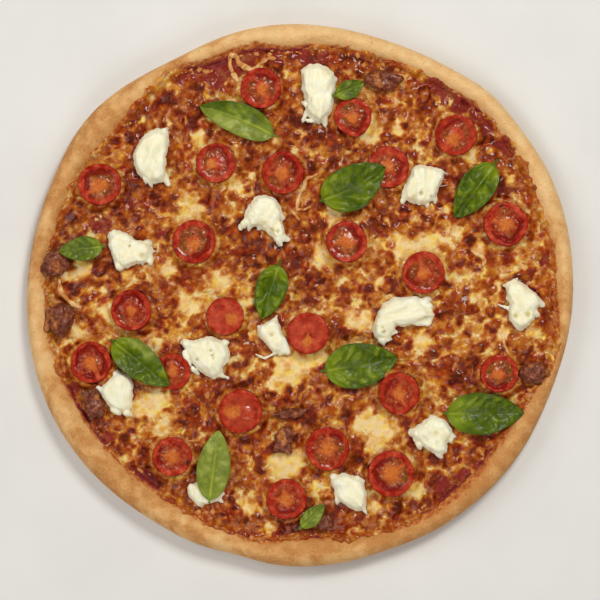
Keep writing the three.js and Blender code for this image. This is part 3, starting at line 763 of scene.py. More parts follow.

# %% [markdown]
# The bubbles are thrown on the map one by one, large ones first, and small ones come to stand on their
# shoulders. Each has its own burn: the roasted ground gives mostly brown ones, the golden ground pale ones. Some
# get a painted highlight on the top and painted shade round the foot instead. A bubble is stamped as a dome whose
# outline is bent, because no real one is round, and where two overlap, the higher one shows. The stamps touch
# small windows of the map only, so thousands of them take a few seconds.

# %% Throw the bubbles
THROWS = ((2600, 3, 5.2), (4200, 2, 3.4), (5200, 1.2, 2.2))  # tries, and the least and greatest radius in mm
REACH = 148  # how far from the middle they are thrown
throw = np.random.default_rng(41)
ragged_x = map_x + 1.15 * uneven(map_x, map_y, 2.9, 24)
ragged_y = map_y + 1.15 * uneven(map_x, map_y, 2.9, 25)
# burnt holds the burn of each bubble, and on some bubbles a painted highlight and painted shade
domes, burnt, bubbles = np.zeros_like(map_x), np.zeros_like(map_x), 0
for tries, smallest, largest in THROWS:
    for bx, by, size, luck, heat, painted_light_luck in throw.uniform(0, 1, (tries, 6)):
        bx, by = (2 * bx - 1) * REACH, (2 * by - 1) * REACH
        size = smallest + (largest - smallest) * size**1.5
        column, row = int((bx + HALF_MAP) / CELL), int((by + HALF_MAP) / CELL)
        ground = roast[row, column]
        if luck > 0.15 + 1.1 * ground or from_foot[row, column] > 4:
            continue
        span = int(1.5 * size / CELL) + 3
        window = (slice(max(row - span, 0), row + span), slice(max(column - span, 0), column + span))
        from_x, from_y = ragged_x[window] - ragged_x[row, column], ragged_y[window] - ragged_y[row, column]
        distance = np.hypot(from_x, from_y) / size
        dome = np.clip(1 - distance**2, 0, 1) ** 0.55 * size * (0.2 + 0.18 * luck)
        dome = dome + 0.55 * domes[row, column] * steps_between(1, 0.85, distance)
        burn_and_painted_light = np.clip(0.2 + 0.65 * ground + 0.8 * (heat - 0.5), 0, 1)
        if painted_light_luck < 0.2 + 0.4 * ground:  # a painted highlight on its top, and painted shade round its foot
            burn_and_painted_light = burn_and_painted_light * (0.4 + 0.6 * steps_between(0.3, 0.85, distance))
        else:
            burn_and_painted_light = burn_and_painted_light * (0.25 + 0.75 * steps_between(1, 0.5, distance))
        higher = steps_between(-0.05, 0.1, dome - domes[window]) * steps_between(1.02, 0.9, distance)
        burnt[window] += higher * (burn_and_painted_light - burnt[window])
        domes[window] = np.maximum(domes[window], dome)
        bubbles += 1
covered = (domes > 0.2)[radius < 140].mean()
print(f"{bubbles} bubbles, up to {domes.max():.1f} mm high, cover {covered:.0%} of the sheet")

# %% [markdown]
# The solid cheese gives the ground that all this stands on: its broad swellings, and the dishes in which the
# tomato halves lie. Rays from above read its height once a millimetre, in every second cell.

# %% Read the ground
SHEET_TOP = 9.2  # the ground's height beyond the solid's edge
coarse_x, coarse_y = map_x[::2, ::2], map_y[::2, ::2]
ground = heights_under(feeler(SOLIDS["cheese"]), coarse_x.ravel(), coarse_y.ravel(), SHEET_TOP)
ground = np.repeat(np.repeat(ground.reshape(coarse_x.shape), 2, axis=0), 2, axis=1)[: len(line), : len(line)]
ground = softened(ground, 1.1)
print(f"the ground lies between {ground[radius < 138].min():.1f} and {ground[radius < 138].max():.1f} mm")

# %% [markdown]
# Melted cheese climbs whatever it touches. So round each tomato half the sheet is drawn up against the skin, to
# just under the cut face, which may lean: rays on the solid half give the plane of its face. Under the toppings
# the bubbles are left out.

# %% Raise the cheese round the toppings
BELOW_FACE = 1.8  # how far under the cut face the cheese stops, in mm
CUT_FACES = {}  # the plane of each half's cut face: its height in the middle, and its slopes along x and y
hugging, collar, under_topping = np.zeros_like(map_x), np.zeros_like(map_x), np.zeros_like(map_x)
bearings = np.linspace(0, 2 * math.pi, 24, endpoint=False)
for index, (name, (tx, ty, size)) in enumerate(zip(TOMATO_NAMES, TOMATO_DISCS)):
    spots = np.array([(0.78 * size * share * math.cos(bearing), 0.78 * size * share * math.sin(bearing))
                      for share in (0.85, 1) for bearing in bearings])
    heights = heights_under(feeler(SOLIDS[name]), tx + spots[:, 0], ty + spots[:, 1], 0)
    CUT_FACES[name] = np.linalg.lstsq(np.column_stack((np.ones(len(spots)), spots)), heights, rcond=None)[0]
    middle_height, slope_x, slope_y = CUT_FACES[name]
    skin_height = middle_height + slope_x * (map_x - tx) + slope_y * (map_y - ty) - BELOW_FACE
    beyond = np.hypot(map_x - tx, map_y - ty) - size + 0.8 * uneven(map_x, map_y, 5, 60 + index)
    close = steps_between(4.4, 0.2, beyond) * (0.75 + 0.5 * uneven(map_x, map_y, 9, 90 + index))
    hugging = np.maximum(hugging, np.clip(close, 0, 1) * np.maximum(skin_height - ground, 0) * (beyond > -2))
    collar = np.maximum(collar, steps_between(2.6, 0.8, beyond))
    under_topping = np.maximum(under_topping, steps_between(0.3, -1.2, beyond))
for name in SOLIDS:
    if name.startswith(("mozzarella_", "browned_meat_")):
        tx, ty, size = disc_of(name)
        beyond = np.hypot(map_x - tx, map_y - ty) - 0.6 * size
        under_topping = np.maximum(under_topping, steps_between(0, -2, beyond))

# %% Add up the height of the sheet
rumpled = 0.2 * uneven(map_x, map_y, 1.6, 26) + 0.35 * uneven(map_x, map_y, 4.2, 27) * (1 - 0.6 * pale_pools)
relief = softened(domes, 0.25) + rumpled - 0.8 * bare_spots - 0.55
cheese_height = ground + relief * (1 - under_topping) + softened(hugging, 0.5)
print(f"the cheese's surface lies between {cheese_height[radius < 138].min():.1f} and "
      f"{cheese_height[radius < 138].max():.1f} mm")

# %% [markdown]
# Every place now gets its tone: how burnt its bubble is, a little more on high ground, and paler in the pools and
# along the strings, where the cheese stayed moist. The tones are then ranked, so that each shade takes a known
# share of the sheet, as much as it takes on the real one. Without that, one shade would swallow the others. Last,
# a pale collar is left here and there round the tomato halves, whose juice kept the cheese from browning.

# %% Rank the tones
strings = steps_between(0.16, 0.03, np.abs(uneven(map_x, map_y, 5.5, 33, 2)))
strings = strings * steps_between(-0.1, 0.35, uneven(map_x, map_y, 9, 34))
# the burn map also carries the painted highlights and painted shade of some bubbles
tones = burnt * (0.8 + 0.2 * steps_between(0.1, 0.9, domes)) + 0.14 * roast + 0.16 * uneven(map_x, map_y, 3, 29)
tones = tones - 0.6 * pale_pools - 0.35 * strings
tones = softened(tones, 0.35)
on_sheet = from_foot < 6
ranks = np.zeros_like(tones)
ranks[on_sheet] = np.argsort(np.argsort(tones[on_sheet])) / on_sheet.sum()
at_edge = steps_between(-3.5, -0.3, from_foot)
ranks = ranks + at_edge * (0.1 - 0.5 * ranks)
collar = collar * steps_between(-0.6, 0.4, uneven(map_x, map_y, 8, 35))
ranks = ranks + 0.75 * collar * (0.16 - ranks)

# %% [markdown]
# The mesh itself starts as one flat grid. Its border is extruded down and the bottom filled with one face, which
# makes a closed slab without spending faces on an underside that nobody sees. The square is then bent into a
# disc, its rings to rings, and every corner takes its height and its masks from the map. At the edge the sheet
# runs a little way up the dough, ragged, except where it stops short and leaves the sauce bare.

# %% Make the slab from one grid
GRID = 308  # squares along each side
nothing_selected()
bpy.ops.mesh.primitive_grid_add(x_subdivisions=GRID, y_subdivisions=GRID, size=2)
cheese = bpy.context.object
cheese.name = "melted_cheese"
bpy.ops.object.mode_set(mode="EDIT")
bpy.ops.mesh.select_all(action="SELECT")
bpy.ops.mesh.region_to_loop()
bpy.ops.mesh.extrude_region_move(TRANSFORM_OT_translate={"value": (0, 0, -1)})
bpy.ops.mesh.edge_face_add()
bpy.ops.mesh.select_all(action="SELECT")
bpy.ops.mesh.normals_make_consistent(inside=False)
bpy.ops.object.mode_set(mode="OBJECT")

square = points_of(cheese)
print(f"the slab has {len(square)} corners")

# %% Bend the slab into the sheet
CHEESE_BOTTOM = 8.3
BARE_EDGES = (  # bearing in degrees, how far the sheet stops short in mm, and how wide in degrees
    (12, 1.6, 6), (50, 3.5, 5), (86, 1.8, 5), (97, 4, 6), (104, 2.5, 3), (111, 9, 4.5), (125, -2.5, 6),
    (206, 2.8, 6), (215, 1.5, 4), (223, 2.4, 6), (231, 8, 3.6), (272, 1.5, 6), (307, 5, 5), (318, 2.5, 4),
    (325, 2, 5),
)
stops_short = around(0, BARE_EDGES)
sx, sy, upper = square[:, 0], square[:, 1], square[:, 2] > -0.5
ring = np.maximum(np.abs(sx), np.abs(sy))
with np.errstate(divide="ignore", invalid="ignore"):
    sideways = np.where(sx > 0, 0, math.pi) + math.pi / 4 * sy / sx
    upright = np.where(sy > 0, 1, -1) * math.pi / 2 - math.pi / 4 * sx / sy
angle = np.where(np.abs(sx) >= np.abs(sy), sideways, upright)
angle = np.where(ring == 0, 0, angle)
foot = rim_edge(angle) - rim_width(angle)
round_x, round_y = foot * np.cos(angle), foot * np.sin(angle)
edge = foot + 1.2 - stops_short(angle) + 0.5 * spill(angle)
edge = edge + 2 * uneven(round_x, round_y, 8, 28, 4) + 0.8 * uneven(round_x, round_y, 2.2, 30, 2)
radius = ring * edge
x, y = radius * np.cos(angle) - MIDDLE[0], radius * np.sin(angle) - MIDDLE[1]

# %% Give every corner its height and its masks
inwards = edge - radius
near_edge = (inwards < 8) & upper
slope = np.zeros(len(x))
slope[near_edge] = heights_under(feeler(dough), x[near_edge], y[near_edge], 0)
z = read_map(cheese_height, x, y)
thin = 0.3 + 0.9 * steps_between(0, 1.8, inwards) + 0.6 * read_map(domes, x, y) * steps_between(0, 1.2, inwards)
lapping = np.maximum(slope, SAUCE_TOP) + thin
z = np.where(near_edge, np.maximum(z - 2.4 * steps_between(3, 0, inwards), lapping), z)
move_points(cheese, np.column_stack((x, y, np.where(upper, z, CHEESE_BOTTOM))) * MM)
for name, field in {"tone": ranks, "pool": pale_pools, "sauce": bare_spots}.items():
    keep_mask(cheese, name, read_map(field, x, y))

# %% [markdown]
# The finish reads those masks. Bubbles too small for the mesh are cells, at two sizes, whose places are warped
# by noise. They change the tone and the fine relief together, so a small brown top also stands out. Pale cheese
# is cream, then come gold, orange, red-brown and nearly black. The oil that cheese sweats out lies on the brown
# parts as a thin clear coat, and breaks the light into small sharp points.

# %% The finish of melted cheese
paint = Painter("melted cheese", Roughness=0.4, Coat_Weight=0.3, Coat_Roughness=0.1, Subsurface_Weight=0.04,
                Subsurface_Scale=0.001, Specular_IOR_Level=0.06)
fine = paint.sum(paint.noise(1.8, 3, 0.5), -0.5)
bent = paint.warped(4, 2.2)
large_cells = paint.times(paint.cells(4.6, bent), paint.cells(4.6, bent))
small_cells = paint.cells(2.2, bent)
tops = paint.sum(paint.times(large_cells, -0.45), paint.times(small_cells, -0.14))
moist = paint.spread(paint.mask("pool"), 0, 0.9, 1, 0.3)
change = paint.times(paint.sum(paint.times(fine, 0.4), paint.sum(tops, 0.18)), moist)
heat = paint.sum(paint.mask("tone"), change)
colour = paint.ramp(
    heat, (0.0, 238, 210, 150), (0.04, 230, 188, 122), (0.1, 218, 162, 90), (0.2, 202, 135, 61),
    (0.33, 186, 109, 39), (0.48, 172, 90, 26), (0.63, 156, 72, 16), (0.78, 138, 56, 8), (0.9, 114, 40, 2),
    (1.0, 84, 26, 0),
)
golden = paint.spread(paint.noise(5, 3), 0.46, 0.62)
colour = paint.blend(golden, colour, tone(255, 248, 176), "MULTIPLY")
milky = paint.times(paint.spread(paint.noise(2.6, 3), 0.54, 0.68), paint.spread(heat, 0.9, 0.3))
colour = paint.blend(paint.times(milky, 0.28), colour, tone(240, 212, 190))
reddened = paint.times(paint.spread(paint.noise(7, 3), 0.48, 0.64), paint.spread(heat, 0.1, 0.5))
colour = paint.blend(paint.times(reddened, 0.65), colour, tone(236, 122, 122), "MULTIPLY")
meaty = paint.times(paint.spread(paint.noise(11, 3), 0.5, 0.62), paint.spread(heat, 0.55, 0.85))
colour = paint.blend(paint.times(meaty, 0.65), colour, tone(118, 48, 34))
wet = paint.sum(paint.mask("sauce"), paint.times(fine, 1.3))
sauced = paint.spread(wet, 0.4, 0.62)
colour = paint.blend(paint.times(sauced, 0.85), colour, tone(134, 40, 36))
wrinkles = paint.sum(paint.times(large_cells, -1.3), paint.times(small_cells, -0.45))
wrinkles = paint.sum(paint.times(fine, 0.3), wrinkles)
wrinkles = paint.bumps(paint.times(wrinkles, moist), 1.3)
oil = paint.spread(heat, 0.15, 0.6, 0.06, 0.36)
serve(cheese, ["cheese"], paint.finish(colour, wrinkles, None, oil))

# %% [markdown]
# ## The tomato halves
#
# Each cherry tomato was cut across, so its face shows a ring of flesh, chambers with seeds in wet gel, and a pale
# core with a wall that runs out to the ring. A flat disc with a drawn pattern would have no depth in the
# chambers, where the deepest reds lie. So one half is spun with close rings on its face and copied for each
# place. Then every copy gets its own walls, hollows and seeds, and takes height and lean from its solid.

# %% Spin one half
HALF_RADIUS = 12
HALF_DEPTH = 0.62 * HALF_RADIUS
HALF_BEARINGS = 88
section = [(share, 1) for share in (0, *np.linspace(0.03, 0.93, 31))]  # the cut face
section += [(0.955, 0.995), (0.975, 0.98), (0.988, 0.955), (0.997, 0.91), (1, 0.85), (0.995, 0.77)]
section += [(0.97, 0.68), (0.91, 0.55), (0.8, 0.38), (0.62, 0.2), (0.4, 0), (0, 0)]
section = [(share * HALF_RADIUS, height * HALF_DEPTH) for share, height in section]
whole_half = spun("tomato_half", section, HALF_BEARINGS)
print(f"one half has {triangles_of(whole_half)} triangles")

# %% [markdown]
# The faces differ more than the outlines do. Some are dry and closed, some are open with olive gel, some have a
# hollow where the seeds have shrunk away from the wall, painted deep crimson: partly its own red and partly
# painted shade. The table gives for each half the bearing and width of its pale wall, how far out its core lies
# and how large it is, how open and how olive the chambers are, where the hollow is and how wide it spreads, and
# where the outline bulges and by how much.

# %% What each face looks like
TOMATO_LOOKS = (
    # wall, width, core out, core size, open, olive, hollow at, spread, bulge at, bulge mm
    (-60, 0.12, 0.1, 0.3, 0.7, 0.5, 60, 45, 200, 0.3), (175, 0.09, 0.02, 0.34, 0.9, 0.7, -50, 60, -78, 1.2),
    (-125, 0.22, 0.35, 0.34, 0.6, 0.9, 110, 45, 60, 0.3), (200, 0.05, 0.25, 0.26, 0.7, 0.6, 45, 70, 90, 0.5),
    (180, 0.08, 0.1, 0.36, 0.9, 0.6, 35, 50, 90, 0.3), (85, 0.1, 0, 0.32, 0.7, 0.2, 0, 45, 45, 0.3),
    (-150, 0.1, 0.1, 0.5, 1.0, 1.0, 140, 90, 0, 0.3), (165, 0.08, 0.1, 0.42, 0.9, 0.3, -50, 70, 0, 0.4),
    (-100, 0.06, 0.15, 0.4, 1.0, 1.0, -40, 60, 90, 0.2), (185, 0.05, 0, 0.45, 0.9, 0.4, 20, 60, 90, 0.3),
    (112, 0.07, 0, 0.3, 0.7, 0.9, -150, 30, 80, 0.3), (-90, 0.02, 0, 0.24, 1.0, 0.2, 110, 80, 90, 0.6),
    (-25, 0.1, 0.4, 0.34, 0.1, 0.5, 140, 8, 90, 0.3), (-90, 0.07, 0.4, 0.24, 0.15, 0.2, 100, 6, 0, 0.2),
    (-60, 0.1, 0, 0.36, 1.0, 0.2, 45, 150, 90, 0.8), (90, 0.04, 0, 0.3, 0.6, 0.2, 90, 60, 0, 0.2),
    (-60, 0.03, 0, 0.32, 0.6, 0.1, 150, 45, -90, 0.9), (198, 0.08, 0.1, 0.34, 1.0, 0.9, -100, 45, 45, 0.3),
    (180, 0.2, 0.4, 0.36, 0.3, 0.1, 0, 20, 90, 0.3), (90, 0.08, 0, 0.44, 1.0, 0.5, 70, 30, -80, 0.4),
    (40, 0.08, 0, 0.5, 1.0, 0.8, 200, 100, 80, 0.3), (170, 0.02, 0, 0.44, 0.8, 0.2, 175, 40, 0, 0.5),
    (180, 0.04, 0, 0.4, 0.6, 0.2, -90, 40, 90, 0.3),
)
GEL_BEADS = {  # by number: bearing, share out and lean, then length and width as shares of the radius
    3: ((150, 0.3, 60, 0.24, 0.1), (75, 0.42, 20, 0.14, 0.09)), 4: ((-20, 0.3, -25, 0.3, 0.09),),
    7: ((-80, 0.55, 160, 0.24, 0.04),), 11: ((-50, 0.5, 100, 0.14, 0.05),), 18: ((60, 0.4, 20, 0.1, 0.06),),
    19: ((25, 0.35, -10, 0.22, 0.09), (-42, 0.4, -15, 0.2, 0.1)), 23: ((40, 0.7, 30, 0.12, 0.04),),
}
BURNT_EDGES = {8: (105, 0.1), 10: (-145, 0.08), 22: (-20, 0.15)}  # by number: bearing, and size as a share
print(f"{len(TOMATO_LOOKS)} faces, {len(GEL_BEADS)} of them with beads of clear gel")

# %% [markdown]
# What repeats on a face is a wall or an oval. A wall is a narrow band from the core to the skin. Seeds, beads of
# gel and scorched spots are all ovals, with a soft border. The places u and v are shares of the face's radius.

# %% Walls and ovals


def bearing_off(angle, degrees):
    """How far a bearing is from a named one, in degrees and with its sign."""
    return (np.degrees(angle) - degrees + 180) % 360 - 180


def oval(u, v, at, out, lean, length, width):
    """1 in the middle of an oval, at a bearing and a share of the radius out, and 0 beyond its border."""
    du, dv = u - out * math.cos(at), v - out * math.sin(at)
    lengthways = (du * math.cos(lean) + dv * math.sin(lean)) / length
    sideways = (dv * math.cos(lean) - du * math.sin(lean)) / width
    return steps_between(1.2, 0.3, np.hypot(lengthways, sideways))


def wall_at(ring, angle, degrees, width):
    """1 in the middle of a wall at a bearing, and 0 beside it and behind the core."""
    off = np.radians(bearing_off(angle, degrees))
    narrow = steps_between(width + 0.13, width - 0.05, np.abs(ring * np.sin(off)))
    return narrow * steps_between(-0.14, 0.08, ring * np.cos(off))


def strewn_seeds(u, v, count, draw):
    """Ovals at random places between the core and the flesh, each leaning its own way."""
    seeds = np.zeros_like(u)
    for _ in range(count):
        at, out = draw.uniform(0, 2 * math.pi), draw.uniform(0.34, 0.64)
        lean, length, width = at + draw.uniform(-0.7, 0.7), draw.uniform(0.08, 0.12), draw.uniform(0.05, 0.07)
        shape = oval(u, v, at, out, lean, length, width)
        seeds = np.maximum(seeds, draw.uniform(0.4, 1) * shape)
    return seeds


# %% [markdown]
# A face is put together from the middle out: walls first, then the chambers that they leave, the hollow along
# the flesh, the core, and last what lies in the gel. The masks also add up to the relief.

# %% One cut face


def cut_face(u, v, look, seed):
    """Relief in mm and masks of a cut face."""
    wall, wall_width, core_out, core_size, openness, olive, hollow_at, hollow_spread = look[:8]
    draw = np.random.default_rng(500 + seed)
    bent_u = u + 0.075 * uneven(u, v, 0.36, 101 + seed)
    bent_v = v + 0.075 * uneven(v, u, 0.36, 131 + seed)
    ring, angle = np.hypot(bent_u, bent_v), np.arctan2(bent_v, bent_u)

    streak = wall_at(ring, angle, wall, wall_width)
    walls = streak
    chambers = 3 if seed % 3 else 2
    for number in range(1, chambers):
        beside = wall_at(ring, angle, wall + number * 360 / chambers + draw.uniform(-22, 22), 0.05)
        walls = np.maximum(walls, draw.uniform(0.2, 0.9) * beside)
    ring_inside = 0.74 + 0.08 * uneven(np.cos(angle), np.sin(angle), 0.8, 171 + seed)
    inside = steps_between(0.16, 0.44, ring) * steps_between(0.09, -0.1, ring - ring_inside)
    chamber = inside * (1 - 0.9 * walls) * openness
    shaded_hollow = np.exp(-(((ring - ring_inside + 0.08) / (0.1 + 0.03 * openness)) ** 2))
    shaded_hollow = shaded_hollow * (1 - 0.8 * streak) * (0.4 + 0.6 * openness)
    off = np.abs(bearing_off(angle, hollow_at))
    shaded_hollow = shaded_hollow * steps_between(hollow_spread + 40, hollow_spread - 15, off)
    core_u = math.cos(math.radians(wall)) * core_out
    core_v = math.sin(math.radians(wall)) * core_out
    core = steps_between(1.5 * core_size, 0.1, np.hypot(bent_u - core_u, bent_v - core_v))
    core = np.maximum(core, 0.8 * streak * steps_between(0.95, 0.3, ring)) * (1 - 0.7 * shaded_hollow)

    seeds = strewn_seeds(u, v, int(3 + 13 * openness), draw)
    seeds = seeds * steps_between(0.2, 0.6, chamber) * (1 - 0.6 * shaded_hollow)
    gel = np.zeros_like(ring)
    for at, out, lean, length, width in GEL_BEADS.get(seed + 1, ()):
        gel = np.maximum(gel, oval(bent_u, bent_v, math.radians(at), out, math.radians(lean), length, width))
    burnt_at, burnt_size = BURNT_EDGES.get(seed + 1, (0, 0.001))
    burnt = oval(u, v, math.radians(burnt_at), 0.88, math.radians(burnt_at), burnt_size, 1.3 * burnt_size)

    fibres = uneven(3 * np.cos(angle) + 0.5 * ring, 3 * np.sin(angle), 0.4, 161 + seed)
    relief = -0.5 * chamber - 0.85 * shaded_hollow + 0.4 * seeds + 0.3 * gel + 0.04 * fibres * steps_between(0.9, 0.5, ring)
    relief = relief + 0.18 * uneven(u, v, 0.3, 191 + seed) * steps_between(1, 0.8, ring)
    olive = np.clip(olive + 0.8 * uneven(u, v, 0.6, 221 + seed), 0, 1) * chamber
    dry = (1 - openness) * (0.7 + 0.5 * uneven(u, v, 0.5, 241 + seed)) * steps_between(0.95, 0.7, ring)
    masks = {"chamber": chamber, "shaded_hollow": shaded_hollow, "seed": seeds, "gel": gel, "core": core, "olive": olive,
             "dry": dry, "fibres": 0.5 + 0.5 * fibres, "burnt": burnt}
    return relief, masks


# %% [markdown]
# The finish lays one thing over another, as they lie in the fruit: flesh with its fibres, gel in the chambers,
# the orange core, and the seeds. A seed is pale with a dark border, where the gel parts from it. What is wet gets
# a clear coat.

# %% The finish of a cut tomato: flesh and gel
paint = Painter("cherry tomato", Roughness=0.36, Specular_IOR_Level=0.08, Coat_Weight=0.3, Coat_Roughness=0.1,
                Subsurface_Weight=0.12, Subsurface_Scale=0.002)
speckle = paint.sum(paint.noise(1.3, 3), -0.5)
clouds = paint.noise(4, 3)
flesh = paint.ramp(
    paint.mottle(4, 3, 1.3, 3, 0.35),
    (0.28, 128, 12, 2), (0.45, 160, 34, 14), (0.58, 182, 56, 30), (0.74, 206, 94, 62),
)
flesh = paint.blend(paint.spread(paint.mask("fibres"), 0.5, 0.9, 0, 0.2), flesh, tone(204, 96, 62))
flesh = paint.blend(paint.times(paint.mask("dry"), 0.5), flesh, tone(204, 92, 62))
gel = paint.blend(paint.mask("olive"), tone(138, 24, 4), tone(110, 64, 6))
chambered = paint.sum(paint.mask("chamber"), paint.times(speckle, 0.4))
colour = paint.blend(paint.spread(chambered, 0.1, 0.7), flesh, gel)
amber = paint.times(paint.spread(paint.noise(2.4, 3), 0.4, 0.62), paint.spread(paint.mask("chamber"), 0.1, 0.6))
colour = paint.blend(paint.times(amber, 0.6), colour, tone(190, 88, 44))

# %% The finish of a cut tomato: core, seeds and skin
stringy = paint.sum(paint.times(paint.mask("fibres"), 0.2), paint.sum(paint.times(speckle, 0.6), 0.42))
pith = paint.ramp(stringy, (0.2, 176, 68, 26), (0.5, 202, 108, 44), (0.85, 230, 158, 76))
cored = paint.sum(paint.mask("core"), paint.times(paint.sum(clouds, -0.5), 0.9))
cored = paint.sum(cored, paint.times(speckle, 0.15))
colour = paint.blend(paint.spread(cored, 0.1, 1.05, 0, 0.92), colour, pith)
kernel = paint.ramp(speckle, (0, 196, 114, 62), (0.2, 222, 160, 108))
colour = paint.blend(paint.spread(paint.mask("seed"), 0.05, 0.35, 0, 0.5), colour, tone(112, 30, 8))
colour = paint.blend(paint.spread(paint.mask("seed"), 0.3, 0.8, 0, 0.75), colour, kernel)
# the hollow is painted deep crimson: partly its own red and partly painted shade under the wall
colour = paint.blend(paint.spread(paint.mask("shaded_hollow"), 0.1, 0.8, 0, 0.88), colour, tone(124, 6, 1))
# the beads of clear gel are painted pale pink: partly the pale gel and partly a painted highlight
colour = paint.blend(paint.times(paint.mask("gel"), 0.45), colour, tone(220, 140, 112))
colour = paint.blend(paint.mask("skin"), colour, tone(140, 18, 12))
scorched = paint.sum(paint.mask("burnt"), paint.times(speckle, 0.8))
colour = paint.blend(paint.spread(scorched, 0.25, 0.6), colour, tone(66, 36, 30))
wet = paint.sum(paint.spread(paint.mask("chamber"), 0, 0.8, 0.08, 0.5), paint.spread(speckle, 0, 0.2, 0, 0.25))
wet = paint.sum(paint.sum(wet, paint.mask("gel")), paint.times(paint.mask("shaded_hollow"), -0.4))
tomato_finish = paint.finish(colour, paint.fine_relief(0.9, 3, 0.25), None, wet)
print(f"the finish of a cut tomato has {len(paint.tree.nodes)} nodes")

# %% [markdown]
# A copy of the spun half leans as its solid does, by the plane that the rays found for it. Its relief fades out
# where the face turns into the skin, which stays smooth and tight.

# %% Shape the twenty-three halves
half_points = points_of(whole_half) / MM
half_ring = np.hypot(half_points[:, 0], half_points[:, 1]) / HALF_RADIUS
half_angle = np.arctan2(half_points[:, 1], half_points[:, 0])
half_height = half_points[:, 2] / HALF_DEPTH
on_face = steps_between(0.96, 0.88, half_ring) * (half_height > 0.9)
for index, (name, look) in enumerate(zip(TOMATO_NAMES, TOMATO_LOOKS)):
    tx, ty, size = TOMATO_DISCS[index]
    select_only(whole_half)
    bpy.ops.object.duplicate()
    half = bpy.context.object
    half.name = name.replace("tomato", "tomato_half")
    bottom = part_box(name)[0].z / MM
    middle_height, slope_x, slope_y = CUT_FACES[name]
    bulge_at, bulge = look[8:]
    outline = size + bulge * np.exp(-((bearing_off(half_angle, bulge_at) / 26) ** 2)) - 0.4 * bulge
    outline = outline + 0.022 * size * uneven(np.cos(half_angle), np.sin(half_angle), 0.8, 251 + index)
    u, v = half_ring * np.cos(half_angle), half_ring * np.sin(half_angle)
    relief, masks = cut_face(u, v, look, index)
    x, y = outline * u, outline * v
    face_height = middle_height + slope_x * x + slope_y * y
    z = bottom + half_height * (face_height - bottom) + on_face * relief
    move_points(half, np.column_stack((tx + x, ty + y, z)) * MM)
    for mask, values in masks.items():
        keep_mask(half, mask, values * on_face)
    keep_mask(half, "skin", 1 - steps_between(0.992, 0.972, half_ring) * (half_height > 0.9))
    serve(half, [name], tomato_finish)
bpy.data.objects.remove(whole_half)

# %% [markdown]
# ## Torn mozzarella
#
# The fresh cheese was pulled apart by hand, so each lump has its own outline: lobes, fingers and thin shreds where
# it tore, folds along the pull, and crumbly curds at the breaks. Scaled spheres would look like pebbles. So the
# solid of the lump is copied, its fingers are added as rows of small balls, and a voxel remesh fuses them to one
# skin with even faces. That skin is smoothed, then torn, folded and pitted by moving its corners.

# %% Fuse a lump with its fingers


def finger_balls(fingers, settle_on, middle):
    """Rows of balls along the fingers: each from, to, and half its width at both ends, in mm."""
    balls = []
    for x0, y0, x1, y1, half0, half1 in fingers:
        steps = max(2, int(math.hypot(x1 - x0, y1 - y0) / (0.45 * (half0 + half1) / 2)) + 1)
        for share in np.linspace(0, 1, steps):
            half = (half0 + (half1 - half0) * share) * MM
            x, y = (x0 + (x1 - x0) * share) * MM, (y0 + (y1 - y0) * share) * MM
            lying = settle_on(x / MM, y / MM) * MM + 0.55 * half
            z = lying + (middle - lying) * (1 - share) * 0.6
            nothing_selected()
            bpy.ops.mesh.primitive_uv_sphere_add(segments=10, ring_count=6, radius=half, location=(x, y, z))
            bpy.context.object.scale.z = 0.8
            balls.append(bpy.context.object)
    return balls


def fused_lump(name, solid, fingers, voxel, settle_on):
    """A copy of the solid, fused with its fingers by a remesh to voxels of this many mm."""
    select_only(SOLIDS[solid])
    bpy.ops.object.duplicate()
    lump = bpy.context.object
    lump.name = name
    del lump["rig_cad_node"]  # the mark of the solid itself, which its copy isn't
    middle = (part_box(solid)[0].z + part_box(solid)[1].z) / 2
    lump = joined([lump, *finger_balls(fingers, settle_on, middle)])
    fuse = lump.modifiers.new("fuse", "REMESH")
    fuse.mode = "VOXEL"
    fuse.voxel_size = voxel * MM
    bpy.ops.object.modifier_apply(modifier=fuse.name)
    bpy.ops.object.mode_set(mode="EDIT")
    bpy.ops.mesh.select_all(action="SELECT")
    bpy.ops.mesh.vertices_smooth(factor=0.5, repeat=7)
    bpy.ops.object.mode_set(mode="OBJECT")
    return lump


def outward(piece):
    """The direction that each corner's surface faces."""
    directions = np.empty(len(piece.data.vertices) * 3)
    piece.data.vertex_normals.foreach_get("vector", directions)
    return directions.reshape(-1, 3)


def cheese_under(x, y):
    return float(read_map(cheese_height, np.array([x]), np.array([y]))[0])
